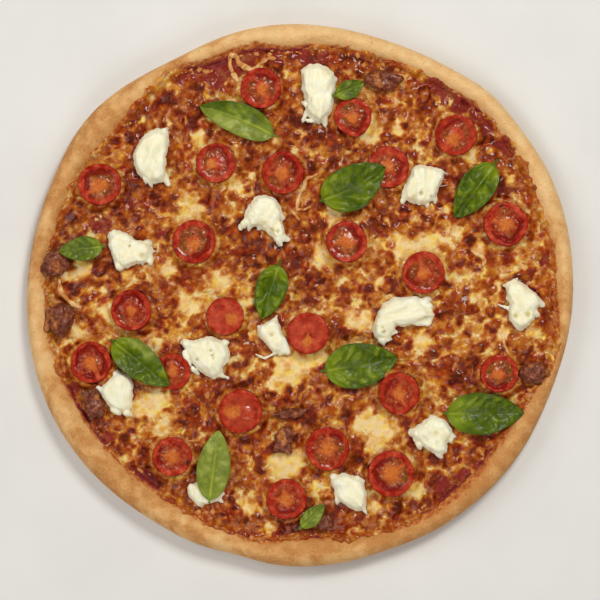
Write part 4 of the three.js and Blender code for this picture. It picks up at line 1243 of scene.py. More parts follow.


# %% [markdown]
# The table gives for each lump the bearing of its folds and how deep they are, how crumbly it is, its fingers, and
# the hollows, which are pressed in and painted with a yellow-green shade, each with its place, radius and depth.
# All places are in millimetres from the pizza's middle.

# %% How each lump was torn
MOZZARELLA_LOOKS = {
    1: (75, 0.25, 0.2, [
        (-76, 92, -74.6, 93, 1.6, 1.3), (-76.5, 68, -73.6, 62.2, 2.2, 1.6), (-84.5, 65, -83, 61, 1.7, 1),
        (-87, 65.5, -86.3, 62.2, 1.2, 0.7)], []),
    2: (88, 0.35, 0.3, [
        (17, 120, 19.8, 121, 2.6, 1.6), (5, 105, 1.5, 97.5, 1.6, 0.9), (4, 98, 11, 96.5, 0.9, 1.1),
        (13, 101, 14.2, 94.5, 2.4, 1.1), (3, 107, 1.5, 108, 1.6, 1.2)], [(13, 107, 3.4, 0.3), (8, 113, 4, 0.25)]),
    3: (86, 0.95, 0.25, [
        (59, 56, 57.4, 52.3, 1.8, 1.5), (61, 54, 64.5, 51.8, 1.4, 1.2), (71, 56, 71.2, 49.3, 1.5, 1),
        (75, 58, 75.6, 51.8, 1.5, 1), (77, 69.6, 83.6, 68, 1.3, 0.5), (76, 60.4, 83, 61.9, 0.6, 0.4)],
        [(67.8, 57, 1.6, 1.8), (73.4, 55, 1.2, 1.4), (63, 54, 2, 1)]),
    4: (60, 0.3, 0.75, [
        (-30.5, 41, -33.2, 38, 1.7, 1.5), (-28, 40, -28.6, 36.6, 1.6, 1.2), (-22.5, 40, -23.2, 37, 1.5, 1.1),
        (-11.5, 45, -9.3, 43.5, 2.2, 1.4), (-11, 33, -6.2, 31, 2.9, 1.5), (-12.5, 32, -11.2, 28.6, 2.7, 1.8),
        (-16, 38, -9.6, 37, 1.5, 1.2)], [(-16, 36, 2.2, 1.2), (-21, 39, 1.6, 0.8), (-12.5, 35.5, 1.2, 1)]),
    5: (-35, 0.3, 0.45, [
        (-104, 35, -106, 33.5, 1.8, 2), (-101, 17, -100.8, 15.2, 2.8, 1.8), (-87, 28, -84.8, 29.6, 2.6, 1.9),
        (-85, 24, -83.6, 20, 2.3, 1.8), (-88.5, 19.5, -88.2, 17, 1.3, 0.9), (-84, 19, -83.4, 17.6, 1.2, 0.9),
        (-83, 24.9, -78.2, 24.5, 0.8, 0.5)], [(-95, 27.6, 1.1, 1.3), (-94.5, 30, 0.9, 0.8), (-88, 22, 2.6, 0.7)]),
    6: (8, 0.3, 0.3, [
        (70, -4, 71.8, -2.4, 2.6, 2.1), (72.4, -6, 72.8, -14.6, 2.1, 1.7), (65, -14.8, 72, -15.9, 1.8, 1.5),
        (51.5, -20.8, 54.6, -20.4, 1.8, 1), (46, -24, 47, -28.4, 2.6, 0.9), (49, -24.5, 51, -24.6, 1.5, 0.8)],
        [(47, -20.5, 1.5, 1.3), (46, -18, 1.1, 0.8)]),
    7: (-52, 0.7, 0.4, [
        (117, 6, 114.2, 5.4, 1.7, 1.1), (120, 7.5, 121.4, 9, 1.6, 1), (133, -3, 136, -5.8, 1.8, 1.1),
        (131, -9, 133, -11, 2, 1.4), (118, -8, 110.6, -5, 1, 0.6), (122, -16, 124.2, -18.6, 2.2, 1.3)],
        [(127.5, -10.5, 2, 1.1), (120, -11.5, 2.2, 0.9)]),
    8: (-68, 0.35, 0.3, [
        (-63.5, -27, -65.9, -26.6, 2, 1.4), (-64.5, -32, -62.2, -38.5, 1.6, 1.4), (-42, -26.6, -40.8, -26, 1.4, 1),
        (-41.5, -35, -40.4, -36.8, 1.5, 1.1), (-46, -44, -40, -46.4, 1.7, 0.7), (-60, -41, -57, -44, 1.3, 1.2)],
        [(-49.8, -31, 1, 1.3), (-48.9, -33.6, 1, 1.3), (-48.2, -35, 0.8, 0.9), (-57.6, -36, 1.3, 1.1),
         (-52, -27, 1.5, 0.5)]),
    9: (-60, 0.25, 0.25, [
        (-14.6, -15, -13, -11.4, 1.8, 1), (-9.5, -25, -7, -31.4, 1.8, 2), (-10, -31, -11, -32.6, 2, 1.6),
        (-14, -32.4, -19.8, -35.3, 0.9, 0.7), (-19.8, -35.3, -24.8, -33, 0.7, 0.6),
        (-22, -17.8, -24, -17.2, 1.2, 0.8)], [(-15.6, -22, 1.4, 0.8)]),
    10: (100, 0.2, 0.15, [
        (-110.5, -53, -113.4, -51.4, 1.4, 0.8), (-103.5, -44, -102.2, -42.2, 1.4, 1), (-104, -64, -101, -66, 2, 1.6),
        (-97, -65.5, -94.8, -67, 1.8, 1.3)], []),
    11: (-58, 0.4, 0.75, [
        (64, -76, 61.3, -75.6, 1.5, 0.8), (66.5, -83, 67.4, -85.6, 2, 1.5), (64.5, -80, 65.4, -83, 1.5, 1.4),
        (76, -87, 79.8, -91, 2.2, 0.9), (84.5, -78.4, 87, -79.2, 1.8, 1.1), (84.6, -80.5, 84.6, -82.6, 1.5, 0.9)],
        [(76, -77, 2.4, 0.6), (70, -81.6, 2.4, 0.5), (82.4, -80.6, 1.6, 0.5), (76.5, -82, 1.8, 0.4)]),
    12: (-60, 0.3, 0.15, [
        (18.8, -101.6, 18.6, -101.4, 1.5, 1.5), (32, -102.5, 35.4, -104, 1.5, 1.3), (21, -113, 20.8, -116.4, 1.7, 1),
        (35, -118, 37.6, -123, 1.7, 0.7)], [(31, -117, 3, 0.25)]),
    13: (90, 0.25, 0.5, [
        (-60.6, -107, -61, -108, 1.9, 1.9), (-57, -116, -55, -117.4, 1.9, 1.5),
        (-47, -113, -43.4, -116, 1.9, 0.8)], []),
}

# %% [markdown]
# Fresh cheese is nearly white, but it isn't paper: light goes into it and comes out warm. The subsurface weight
# does that. The folds, the sides and the hollows are painted a touch darker and yellower, a painted shade, and
# the skin has a faint wet sheen.

# %% The finish of fresh cheese
paint = Painter("fresh mozzarella", Roughness=0.5, Specular_IOR_Level=0.2, Coat_Weight=0.08, Coat_Roughness=0.25,
                Subsurface_Weight=0.6, Subsurface_Scale=0.003, Subsurface_Radius=(1, 0.85, 0.6))
milky = paint.ramp(
    paint.mottle(5, 3, 1.2, 2, 0.3),
    (0.3, 252, 242, 208), (0.5, 254, 247, 218), (0.72, 255, 251, 228),
)
# painted shade in the grooves of the folds and on the sides of the lump
shaded = paint.spread(paint.mask("fold_and_side_shade"), 0.1, 0.9, 0, 0.3)
milky = paint.blend(shaded, milky, tone(234, 222, 174))
# painted shade in the pressed hollows, yellow-green
colour = paint.blend(paint.spread(paint.mask("painted_pit_shade"), 0.2, 0.9, 0, 0.85), milky, tone(200, 186, 110))
sheen = paint.spread(paint.noise(3, 2), 0.3, 0.7, 0.4, 0.6)
mozzarella_finish = paint.finish(colour, paint.fine_relief(0.8, 3, 0.14), sheen)

# %% [markdown]
# Every corner of a lump is moved along its own normal. The sides are torn, the top is folded along the pull, and
# both fade out at the bottom, so that the lump keeps its seat on the cheese.

# %% The thirteen lumps
for number, (grain, folds, crumbly, fingers, hollows) in MOZZARELLA_LOOKS.items():
    solid = f"mozzarella_{number:02d}"
    lump = fused_lump(f"torn_mozzarella_{number:02d}", solid, fingers, 0.55, cheese_under)
    spots, faces = points_of(lump) / MM, outward(lump)
    x, y, z = spots.T
    along = x * math.cos(math.radians(grain)) + y * math.sin(math.radians(grain))
    beside = y * math.cos(math.radians(grain)) - x * math.sin(math.radians(grain))
    upward = np.clip(faces[:, 2], 0, 1)
    ridges = np.abs(uneven(beside, along / 5, 3.2, 300 + number, 2))
    curds = 1 - np.abs(uneven(x + z, y - z, 2.6, 330 + number, 2)) * 1.6
    torn = 0.55 * uneven(x + 0.7 * z, y - 0.4 * z, 3.4, 360 + number)
    torn = torn + 0.25 * uneven(x - z, y + z, 1.2, 390 + number, 2)
    move = torn * (1 - upward) + 0.35 + upward * (folds * (0.5 - 1.2 * ridges) + 0.25 * uneven(x, y, 6, 420 + number))
    move = move + crumbly * 0.5 * (curds - 0.5)
    # painted shade in the pressed hollows
    painted_pit_shade = np.zeros(len(x))
    for hx, hy, size, depth in hollows:
        near = np.exp(-((x - hx) ** 2 + (y - hy) ** 2) / size**2)
        painted_pit_shade = np.maximum(painted_pit_shade, near * min(1, depth))
        move = move - upward * depth * near
    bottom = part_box(solid)[0].z / MM
    move = move * steps_between(bottom - 0.4, bottom + 1.6, z)
    move_points(lump, (spots + faces * move[:, None]) * MM)
    # the mask of painted shade: darker in the grooves of the folds and on the sides that face away from the top
    fold_and_side_shade = 0.9 * steps_between(0.15, 0.6, ridges) * min(1, 1.6 * folds + 0.3) + 0.5 * (1 - upward)
    keep_mask(lump, "fold_and_side_shade", np.clip(fold_and_side_shade, 0, 1))
    keep_mask(lump, "painted_pit_shade", painted_pit_shade * upward)
    serve(lump, [solid], mozzarella_finish)

# %% [markdown]
# ## Browned meat
#
# The dark pieces are made in the same way. Meat shrinks as it browns, which leaves cracked lobes, and some of the
# cheese has run over it. One mask paints shade into the cracks and the low parts, and another gilds the tops
# that carry cheese.

# %% The lobes of the eight pieces
MEAT_LOBES = {
    1: [(38, 121, 37, 119.5, 2.5, 2), (53, 121, 56.5, 121.5, 3, 2)],
    2: [(-141, 14, -144, 14.5, 3.4, 2.8), (-137, 24, -133, 27.5, 3, 2), (-131, 19, -129.6, 17, 3, 2.2)],
    3: [(-140, -8, -141.5, -19, 2.4, 2.4), (-132, -9, -127, -9.5, 3, 2), (-133, -19, -132, -22, 3, 2)],
    4: [(-118, -58, -121, -54.4, 3, 2.6), (-114, -56, -114.6, -53.4, 2.8, 2.4), (-118, -64, -117, -68.6, 3, 2.4),
        (-112, -66, -111.6, -67.4, 2.6, 2.2)],
    5: [(-12, -66, -15, -67, 2, 1.6), (0, -65, 3.6, -64, 2, 1.4)],
    6: [(-11, -84, -13.5, -87, 3, 2.2), (-7, -84, -6, -88, 3, 2)],
    7: [(137, -43, 139.4, -45, 2.8, 2), (126, -44, 123, -44.5, 2.6, 1.8), (133, -48, 134.5, -49.8, 2.4, 1.6)],
    8: [(14, -125, 13, -122.6, 2, 1.2), (12, -129, 11, -131, 2, 1.4)],
}

# %% The finish of browned meat
paint = Painter("browned meat", Roughness=0.5, Specular_IOR_Level=0.12, Coat_Weight=0.3, Coat_Roughness=0.2,
                Subsurface_Weight=0.06, Subsurface_Scale=0.001)
strands = paint.mottle(2.6, 4, 0.8, 2, 0.4)
colour = paint.ramp(
    strands, (0.3, 84, 32, 18), (0.44, 118, 56, 34), (0.56, 142, 78, 52), (0.72, 180, 112, 84),
)
# painted shade in the cracks and the low parts
colour = paint.blend(paint.spread(paint.mask("shaded_crevice"), 0.2, 0.9, 0, 0.5), colour, tone(78, 26, 14))
golden = paint.ramp(paint.noise(1.6, 3), (0.35, 168, 78, 30), (0.6, 214, 140, 62))
cheesed = paint.sum(paint.mask("cheesed"), paint.sum(paint.noise(1.4, 3), -0.5))
colour = paint.blend(paint.spread(cheesed, 0.3, 0.9, 0, 0.6), colour, golden)
sheen = paint.spread(paint.noise(1.5, 2), 0.3, 0.7, 0.3, 0.55)
meat_finish = paint.finish(colour, paint.fine_relief(0.9, 4, 0.4, 0.6), sheen)

# %% Shape the eight pieces
for number, lobes in MEAT_LOBES.items():
    solid = f"browned_meat_{number:02d}"
    chunk = fused_lump(solid.replace("browned_meat", "meat_chunk"), solid, lobes, 0.6,
                       lambda x, y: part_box(solid)[0].z / MM + 1.5)
    spots, faces = points_of(chunk) / MM, outward(chunk)
    x, y, z = spots.T
    lobed = 0.75 * uneven(x + 0.5 * z, y - 0.5 * z, 5, 450 + number) + 0.25 * uneven(x - z, y + z, 2, 470 + number)
    cracks = np.abs(uneven(x, y + 0.5 * z, 4.5, 490 + number, 2))
    # the crevice mask also paints shade into the cracks and where the lobes are low
    shaded_crevice = steps_between(0.16, 0.02, cracks)
    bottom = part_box(solid)[0].z / MM
    move = (lobed - 0.2 - 0.45 * shaded_crevice) * steps_between(bottom - 0.4, bottom + 1.8, z)
    move_points(chunk, (spots + faces * move[:, None]) * MM)
    keep_mask(chunk, "shaded_crevice", np.clip(shaded_crevice + 0.5 - 0.5 * lobed, 0, 1))
    keep_mask(chunk, "cheesed", steps_between(0.1, 0.6, uneven(x, y, 7, 510 + number)) * np.clip(faces[:, 2], 0, 1))
    serve(chunk, [solid], meat_finish)

# %% [markdown]
# ## Basil
#
# A basil leaf is a thin quilted blade. Its side veins lie in grooves that run forward from the midrib, and the
# blade puffs up between them, which is what makes the broken highlights. A leaf painted on a flat card would have
# none. So a grid is laid along the midrib, narrowed to the outline of the blade, cupped, quilted and given
# thickness. Two leaves lie with the pale underside up, where the veins stand out instead of sinking in.

# %% How each leaf lies
BASIL_LOOKS = {
    # base and tip, then width, bend, stalk, cup and rise in mm, roll in degrees, veins, quilting, underside
    1: ((-15, 89.5), (-56, 105.5), 18, -1.7, 3, 3, 1, -6, 5, 0.3, 1),
    2: ((20, 111.5), (35.5, 118.5), 10.5, 0, 2, 1.5, -1, 12, 3, 0.4, 0.25),
    3: ((12.5, 53), (47.5, 71.5), 25, -2, 2, 2, 5, 0, 4, 1, 0),
    4: ((108.5, 73), (86.5, 43.5), 19.5, 0.6, 4, 3, 1, 5, 5, 1.1, 0),
    5: ((-110.5, 27), (-134.5, 24), 13.5, 0, 2, 1.5, 3, 0, 5, 0.45, 0.2),
    6: ((-12, 16.5), (-21.5, -13.5), 18, 0, 4, 3, 1.5, 0, 4, 1, 0),
    7: ((-104.5, -26), (-73, -51), 19.5, 0, 2, 2.5, 4, -4, 4, 0.9, 0),
    8: ((14, -42.5), (54.5, -35.5), 25.5, 0, 3, 2.5, 1, 4, 5, 1, 0),
    9: ((82, -66.5), (125, -66), 23.5, 0, 2, 2.5, 0, 4, 6, 0.8, 0),
    10: ((-50.5, -114.5), (-45.5, -75.5), 18.5, 0, 2, 2.5, -5, 0, 6, 0.3, 0.9),
    11: ((0.8, -130), (13.4, -117.4), 9.6, 0, 2, 1, 1, 0, 4, 0.35, 0.45),
}
STALK_WIDTH = 1.2
LEAF_THICKNESS = 0.6
ALONG, ACROSS = 64, 34  # squares of the grid
STEM = 0.1  # share of the grid that makes the stalk


def blade_outline(along):
    """Half the width of the blade, as a share of its widest, at a share of its length."""
    from_stalk, to_tip = 0.55, 0.75
    peak = from_stalk / (from_stalk + to_tip)
    return (along / peak) ** from_stalk * ((1 - along) / (1 - peak)) ** to_tip


# %% [markdown]
# The finish knows the midrib, the side veins, the young yellow-green base and the underside from masks. The puffs
# are painted lighter and the grooves darker, a painted light and shade. Waxy highlights need a smooth surface, so
# the roughness is low on top and high below.

# %% The finish of basil
paint = Painter("basil leaf", Roughness=0.45, Specular_IOR_Level=0.15, Coat_Weight=0.2, Coat_Roughness=0.24,
                Subsurface_Weight=0.1, Subsurface_Scale=0.001)
# painted light and shade: lighter on the puffs between the veins, darker in the grooves
puff_shading_and_mottle = paint.sum(paint.times(paint.mask("painted_puff_shading"), 0.5), paint.times(paint.mottle(4, 3, 0.8, 2, 0.25), 0.6))
top = paint.ramp(puff_shading_and_mottle, (0.2, 58, 78, 0), (0.42, 80, 100, 0), (0.62, 100, 118, 4), (0.85, 130, 146, 34))
top = paint.blend(paint.spread(paint.mask("young"), 0, 1, 0, 0.6), top, tone(136, 152, 18))
below = paint.ramp(puff_shading_and_mottle, (0.2, 104, 118, 26), (0.5, 136, 146, 54), (0.8, 166, 174, 86))
below = paint.blend(paint.times(paint.mask("vein"), 0.3), below, tone(166, 178, 90))
colour = paint.blend(paint.mask("underside"), top, below)
rib = paint.sum(0.1, paint.sum(paint.times(paint.mask("underside"), 0.55), paint.times(paint.mask("young"), 0.45)))
colour = paint.blend(paint.times(paint.mask("midrib"), rib), colour, tone(166, 178, 62))
sheen = paint.spread(paint.mask("underside"), 0, 1, 0.38, 0.75)
basil_finish = paint.finish(colour, paint.fine_relief(0.7, 3, 0.12), sheen)

# %% [markdown]
# A leaf is first shaped as if it pointed along x. Its outline comes from one curve, and the side veins are lines
# that fan out from the midrib. The distance to the nearest of them gives the veins, the puffs between them, and
# with both the relief and the masks.

# %% Shape a leaf


def side_below(number, underside, side, share, fine):
    """1 where the underside shows, 0 where the top does."""
    if number == 1:  # folded along the midrib, so that one half shows its top
        return 0.15 + 0.85 * steps_between(-0.2, 0.06, side + 0.12 * fine)
    if number == 7:  # one margin is curled over near the stalk
        return 0.6 * steps_between(0.45, 0.7, side + 0.2 * fine) * steps_between(0.75, 0.4, share)
    return np.full(len(side), float(underside))


def leaf_shape(number, look, grid):
    """Places in mm and masks of a leaf along x, from the corners of a grid between -1 and 1."""
    base, tip, width, bend, stalk, cup, _, _, veins, quilting, underside = look
    whole, side = (grid[:, 0] + 1) / 2, grid[:, 1]
    share = np.clip((whole - STEM) / (1 - STEM), 0, 1)
    length = math.dist(base, tip)
    outline = blade_outline(np.clip(share, 1e-6, 1))
    ragged = 1 + 0.035 * uneven(share * 9, np.sign(side) * 5 + 0 * share, 2.2, 530 + number)
    half = np.maximum(STALK_WIDTH / 2 * steps_between(-0.4, 0.3, whole / STEM), 0.5 * width * outline * ragged)
    half = np.where(share > 0.5, 0.5 * width * outline * ragged, half)
    arch = np.sin(math.pi * share)
    stretched_side = np.sign(side) * np.abs(side) ** 0.9
    x = np.where(whole < STEM, stalk * (whole / STEM - 1), length * share)
    y = half * stretched_side + bend * arch
    wave = 0.8 * np.sin(10 * share + number - 1) * side**2
    z = 0.06 * length * arch + (cup * np.abs(side) ** 1.4 + wave) * outline

    spread = np.abs(stretched_side) * outline
    fan = veins * (share - 0.42 * spread * width / length) + 0.5 * (side > 0) * 0.7
    fan = fan + 0.45 * uneven(x, y, 8, 550 + number)
    from_vein = np.abs(fan - np.round(fan)) / veins * length  # mm from the nearest side vein
    in_blade = steps_between(0, 0.12, share) * steps_between(1.02, 0.75, np.abs(side))
    vein = np.exp(-((from_vein / 0.45) ** 2)) * in_blade * steps_between(1, 0.8, share)
    midrib = np.exp(-(((y - bend * arch) / (0.3 + 0.4 * (1 - share))) ** 2)) * steps_between(1.02, 0.4, share)
    puffs = np.abs(np.sin(math.pi * fan)) ** 0.8 * in_blade
    puffs = puffs * (0.65 + 0.7 * uneven(x, y, 5, 570 + number)) * steps_between(0.02, 0.3, np.abs(side))
    fine = uneven(x, y, 4, 590 + number, 2) * in_blade
    folds = uneven(x, y, 9, 610 + number, 2) * in_blade
    standing = -1 if underside > 0.5 else 1  # under a leaf the veins stand out
    z = z + quilting * (1.4 * puffs + 0.3 * fine + 0.9 * folds)
    z = z - standing * (0.6 * midrib + 0.2 * vein) * (0.6 + 0.5 * quilting)
    on_blade = steps_between(0, 0.07, share)
    masks = {
        "vein": vein, "midrib": midrib * on_blade, "young": steps_between(0.4, 0, share) * (0.3 + 0.7 * on_blade),
        "underside": side_below(number, underside, side, share, fine),
        # painted light and shade: lighter on the puffs, darker in the grooves
        "painted_puff_shading": np.clip(0.75 * puffs + 0.35 * folds + 0.3 * fine, 0, 1),
    }
    return np.column_stack((x, y, z)), masks


# %% [markdown]
# The leaf is then turned to its heading, tilted and rolled. Rays on its solid say how high it lies in the middle,
# and where it would dip into the cheese or the bread it is lifted softly on them, as a limp leaf gives way.

# %% Lay a leaf on the pizza
resting_height = softened(cheese_height, 1.2)
bread_feeler = feeler(dough)


def laid(spots, look, solid):
    """The leaf's places turned to its heading, at its solid's height, and lying on what is under it, in mm."""
    base, tip, rise, roll = look[0], look[1], look[6], look[7]
    heading = math.atan2(tip[1] - base[1], tip[0] - base[0])
    lying = Matrix.Rotation(heading, 3, "Z") @ Matrix.Rotation(-math.asin(rise / math.dist(base, tip)), 3, "Y")
    lying = np.array(lying @ Matrix.Rotation(math.radians(roll), 3, "X"))
    spots = spots @ lying.T
    spots[:, :2] += np.array(base) - np.array(MIDDLE)
    check = slice(0, len(spots), 7)
    heights = heights_under(feeler(SOLIDS[solid]), spots[check, 0], spots[check, 1], -1)
    met = heights > 0
    spots[:, 2] += np.median((heights - spots[check, 2])[met])
    bread = heights_under(bread_feeler, spots[:, 0], spots[:, 1], 0)
    resting = np.maximum(read_map(resting_height, spots[:, 0], spots[:, 1]), bread + 0.3) + LEAF_THICKNESS
    spots[:, 2] = resting + np.logaddexp(0, 3 * (spots[:, 2] - resting)) / 3
    return spots


# %% The eleven leaves
for number, look in BASIL_LOOKS.items():
    solid = f"basil_{number:02d}"
    nothing_selected()
    bpy.ops.mesh.primitive_grid_add(x_subdivisions=ALONG, y_subdivisions=ACROSS, size=2)
    leaf = bpy.context.object
    leaf.name = f"basil_leaf_{number:02d}"
    spots, masks = leaf_shape(number, look, points_of(leaf))
    move_points(leaf, laid(spots, look, solid) * MM)
    for mask, values in masks.items():
        keep_mask(leaf, mask, values)
    close_seams(leaf)
    if outward(leaf)[:, 2].mean() < 0:
        bpy.ops.object.mode_set(mode="EDIT")
        bpy.ops.mesh.flip_normals()
        bpy.ops.object.mode_set(mode="OBJECT")
    thicken = leaf.modifiers.new("thickness", "SOLIDIFY")
    thicken.thickness = LEAF_THICKNESS * 0.8 * MM
    thicken.offset = -1
    bpy.ops.object.modifier_apply(modifier=thicken.name)
    serve(leaf, [solid], basil_finish)

# %% [markdown]
# ## Melted shreds and crumbs
#
# The cheese went on grated. Some shreds never sank in: they lie on the sheet as pale ropes and loops. A painted
# line would stay flat in raking light, so each is a curve with a round section that swells and thins, laid along
# the sheet's own height, turned into a mesh and pressed flat on it.

# %% Where the shreds lie
sheet_feeler, sauce_feeler = feeler(cheese), feeler(sauce)


def lying_height(x, y):
    """How high the topmost of sheet, sauce and bread is at each place, in mm."""
    return np.max([heights_under(tree, x, y, 0) for tree in (sheet_feeler, sauce_feeler, bread_feeler)], axis=0)


SHREDS = (
    # the width at both ends, then the corners, in mm
    (3, 2.6, ((-135, 9), (-134, 2), (-130, -3), (-126, -6), (-122, -7))),
    (3, 2.6, ((-34.5, 119.5), (-37.7, 124.5), (-39.3, 129.5), (-39.6, 133.5), (-37.7, 135), (-35.2, 133.5),
              (-34.2, 130), (-30, 127.3), (-26.2, 125.5), (-21.7, 130), (-17.5, 133), (-13.8, 132.6))),
    (1.8, 2, ((111.5, -20), (114.5, -22), (114, -26), (115.5, -30.5), (117, -33))),
    (1.8, 3, ((95.5, 25.4), (98.2, 23.5), (102, 21.5), (103.4, 19), (102.6, 16.4))),
    (2.2, 2, ((10, 68), (6, 66), (3.2, 65.4), (2.3, 61), (0, 56.4), (-1.5, 51.3), (-2, 48), (2, 48), (6, 49.4))),
    (2, 1.4, ((-5.2, 48), (-2.5, 44.8), (0, 42.3))),
)
print(f"{len(SHREDS)} shreds never sank in")

# %% Draw a shred as a curve


def shred(width_from, width_to, corners):
    """A rope of melted cheese through the corners. It lies on what is under it, a fifth of it sunk in."""
    corners = np.array(corners, float)
    reach = np.concatenate(([0], np.cumsum(np.hypot(*np.diff(corners, axis=0).T))))
    stops = np.linspace(0, reach[-1], max(5, int(reach[-1] / 1.5)))
    x, y = np.interp(stops, reach, corners[:, 0]), np.interp(stops, reach, corners[:, 1])
    share = stops / reach[-1]
    width = width_from + (width_to - width_from) * share
    width = width * (0.7 + 0.3 * np.sin(math.pi * share)) * (1 + 0.45 * uneven(x, y, 3, 640))
    lying = np.convolve(np.pad(lying_height(x, y), 1, mode="edge"), (0.25, 0.5, 0.25), "valid")
    z = lying + 0.3 * width
    nothing_selected()
    bpy.ops.curve.primitive_nurbs_path_add()
    curve = bpy.context.object.data
    path = curve.splines[0]
    path.points.add(len(stops) - len(path.points))
    for point, place, half in zip(path.points, zip(x, y, z), width / 2):
        point.co = (*(c * MM for c in place), 1)
        point.radius = half
    path.order_u, path.use_endpoint_u, path.resolution_u = 3, True, 2
    curve.bevel_depth, curve.bevel_resolution, curve.use_fill_caps = MM, 2, True
    curve.dimensions = "3D"
    bpy.ops.object.convert(target="MESH")
    return bpy.context.object


# %% Lay the shreds and press them flat
shreds = joined([shred(*measures) for measures in SHREDS])
shreds.name = "melted_shreds"
spots = points_of(shreds) / MM
lying = lying_height(spots[:, 0], spots[:, 1])
spots[:, 2] = np.where(spots[:, 2] > lying, lying + 0.65 * (spots[:, 2] - lying), spots[:, 2])
shift = 0.4 * np.column_stack([uneven(spots[:, 0], spots[:, 1] + spots[:, 2], 2.4, 650 + k) for k in range(3)])
move_points(shreds, (spots + shift) * MM)
keep_mask(shreds, "tone", read_map(ranks, spots[:, 0], spots[:, 1]))

# %% [markdown]
# A shred is paler than the ground it lies on, and takes some of its tone where it is thin. So its finish reads
# the tone of the sheet under it, and stays glossy.

# %% The finish of the shreds
paint = Painter("melted shred", Roughness=0.35, Specular_IOR_Level=0.1, Coat_Weight=0.25, Coat_Roughness=0.12,
                Subsurface_Weight=0.1, Subsurface_Scale=0.001)
warmth = paint.sum(paint.times(paint.mask("tone"), 0.35), paint.times(paint.noise(2.2, 3), 0.8))
colour = paint.ramp(warmth, (0.3, 238, 208, 152), (0.45, 230, 184, 124), (0.6, 216, 152, 84), (0.8, 190, 110, 50))
serve(shreds, [], paint.finish(colour, paint.fine_relief(0.9, 3, 0.2)))

# %% [markdown]
# Where the topping met the rim it boiled over in small brown crumbs. They sit in clusters, where it boiled most,
# and are small, with few large ones. One ball is shaped, and copied to each place with a size, a turn and an
# unevenness of its own. A little more than half of each crumb is sunk in what it lies on.

# %% Shape one ball, and choose the places of the crumbs
CRUMBS = 120
IN_CLUSTER = 4
nothing_selected()
bpy.ops.mesh.primitive_ico_sphere_add(subdivisions=2, radius=1)
ball = bpy.context.object
ball_points = points_of(ball)
ball_faces = [tuple(face.vertices) for face in ball.data.polygons]
bpy.data.objects.remove(ball)

scatter = np.random.default_rng(660)
clusters = scatter.uniform(-math.pi, math.pi, CRUMBS // IN_CLUSTER)
bearings = np.repeat(clusters, IN_CLUSTER) + scatter.normal(0, 0.03, CRUMBS)
foots = rim_edge(bearings) - rim_width(bearings)
outs = scatter.normal(-1, 1.8, CRUMBS) - np.abs(stops_short(bearings)) * scatter.uniform(0, 0.5, CRUMBS)
sizes = 0.6 + 1.4 * scatter.uniform(0, 1, CRUMBS) ** 2.2
xs = (foots + outs) * np.cos(bearings) - MIDDLE[0]
ys = (foots + outs) * np.sin(bearings) - MIDDLE[1]
grounds = lying_height(xs, ys)
print(f"the crumbs are {2 * sizes.min():.1f} to {2 * sizes.max():.1f} mm long")

# %% Copy the ball to each place
corners, faces, heats = [], [], []
for x, y, ground, size in zip(xs, ys, grounds, sizes):
    stretch = np.array((1, scatter.uniform(0.6, 1), scatter.uniform(0.45, 0.7)))
    ball_x, ball_y, ball_z = ball_points.T
    wobble = 1 + 0.22 * uneven(ball_x * 2 + x, ball_y * 2 + ball_z + y, 1.2, 661, 2)
    turned = np.array(Matrix.Rotation(scatter.uniform(0, 2 * math.pi), 3, "Z"))
    first = len(ball_points) * len(heats)
    place = np.array((x, y, ground - 0.1 * size))
    corners.append((ball_points * stretch * wobble[:, None] * size) @ turned.T + place)
    faces += [tuple(corner + first for corner in face) for face in ball_faces]
    heats.append(scatter.uniform(0, 1))
mesh = bpy.data.meshes.new("rim_crumbs")
mesh.from_pydata(np.concatenate(corners) * MM, [], faces)
crumbs = bpy.data.objects.new("rim_crumbs", mesh)
bpy.context.scene.collection.objects.link(crumbs)
keep_mask(crumbs, "heat", np.repeat(heats, len(ball_points)))

# %% The finish of the crumbs
paint = Painter("rim crumb", Roughness=0.4, Specular_IOR_Level=0.1, Coat_Weight=0.2, Coat_Roughness=0.15,
                Subsurface_Weight=0.06, Subsurface_Scale=0.001)
heat = paint.sum(paint.times(paint.mask("heat"), 0.7), paint.times(paint.noise(1.5, 3), 0.4))
colour = paint.ramp(heat, (0.15, 208, 144, 78), (0.35, 190, 108, 48), (0.6, 164, 76, 30), (0.9, 118, 42, 18))
serve(crumbs, [], paint.finish(colour, paint.fine_relief(0.8, 3, 0.2)))

# %% [markdown]
# ## The studio
#
# The pizza lies on a plain pale floor and is seen from straight above, through a long lens, so that the rim
# doesn't lean outwards. One lamp stands at the upper right like a window, and gives the small bright points
# on oil and gel. Two broad ones at the left and below fill the shadows, so that the whole rim is light.

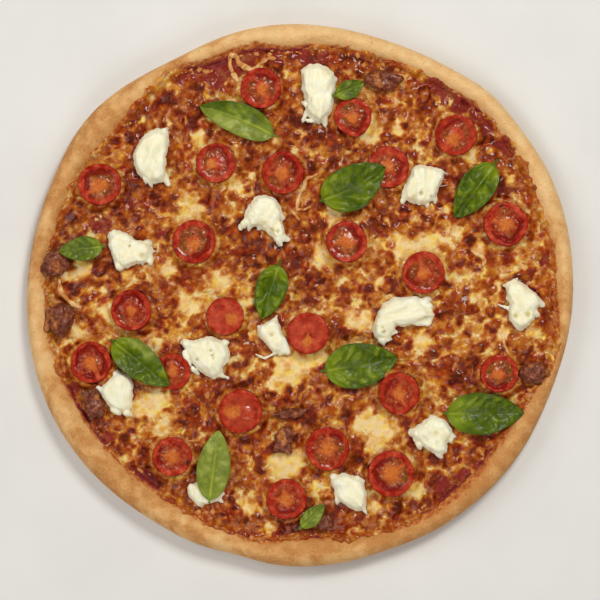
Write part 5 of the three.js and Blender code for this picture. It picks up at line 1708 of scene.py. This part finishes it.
# %% The floor
nothing_selected()
bpy.ops.mesh.primitive_plane_add(size=6)
floor = bpy.context.object
floor.name = "studio_floor"
paint = Painter("pale floor", Roughness=0.85)
paper = paint.ramp(paint.noise(60, 3), (0.3, 226, 225, 222), (0.7, 232, 231, 228))
floor.data.materials.append(paint.finish(paper))

# %% Lamps and sky


def lamp(name, place, size, power, warmth):
    """A square lamp that looks at the middle of the pizza."""
    light = bpy.data.lights.new(name, "AREA")
    light.size, light.energy, light.color = size, power, warmth
    holder = bpy.data.objects.new(name, light)
    holder.location = place
    holder.rotation_euler = (-Vector(place)).to_track_quat("-Z", "Y").to_euler()
    bpy.context.scene.collection.objects.link(holder)


WARM_WHITE = (1, 0.98, 0.95)
lamp("window", (0.44, 0.76, 1.25), 0.42, 12.5, (1, 0.975, 0.92))
lamp("left fill", (-1.05, 0.3, 1.05), 0.8, 7, WARM_WHITE)
lamp("lower fill", (0.1, -1.1, 1.05), 0.8, 6, WARM_WHITE)
world = bpy.data.worlds.new("pale sky")
world.use_nodes = True
sky = world.node_tree.nodes["Background"]
sky.inputs["Color"].default_value = (*WARM_WHITE, 1)
sky.inputs["Strength"].default_value = 0.2
bpy.context.scene.world = world

# %% [markdown]
# The camera's focal length follows from what it has to take in: so many millimetres at the height of the rim. The
# view keeps plain screen colours, so that cream stays cream.

# %% The camera
VIEW_WIDTH = 336.8  # mm across, at the height of the rim
VIEW_MIDDLE = (0, -2.64)  # mm
RIM_LEVEL = 0.009  # metres
CAMERA_HEIGHT = 1.5  # metres
SENSOR = 36  # mm
lens = bpy.data.cameras.new("overhead")
lens.sensor_width = SENSOR
lens.lens = SENSOR * (CAMERA_HEIGHT - RIM_LEVEL) / (VIEW_WIDTH * MM)
camera = bpy.data.objects.new("overhead", lens)
camera.location = (VIEW_MIDDLE[0] * MM, VIEW_MIDDLE[1] * MM, CAMERA_HEIGHT)
bpy.context.scene.collection.objects.link(camera)
bpy.context.scene.camera = camera
bpy.context.scene.view_settings.view_transform = "Standard"
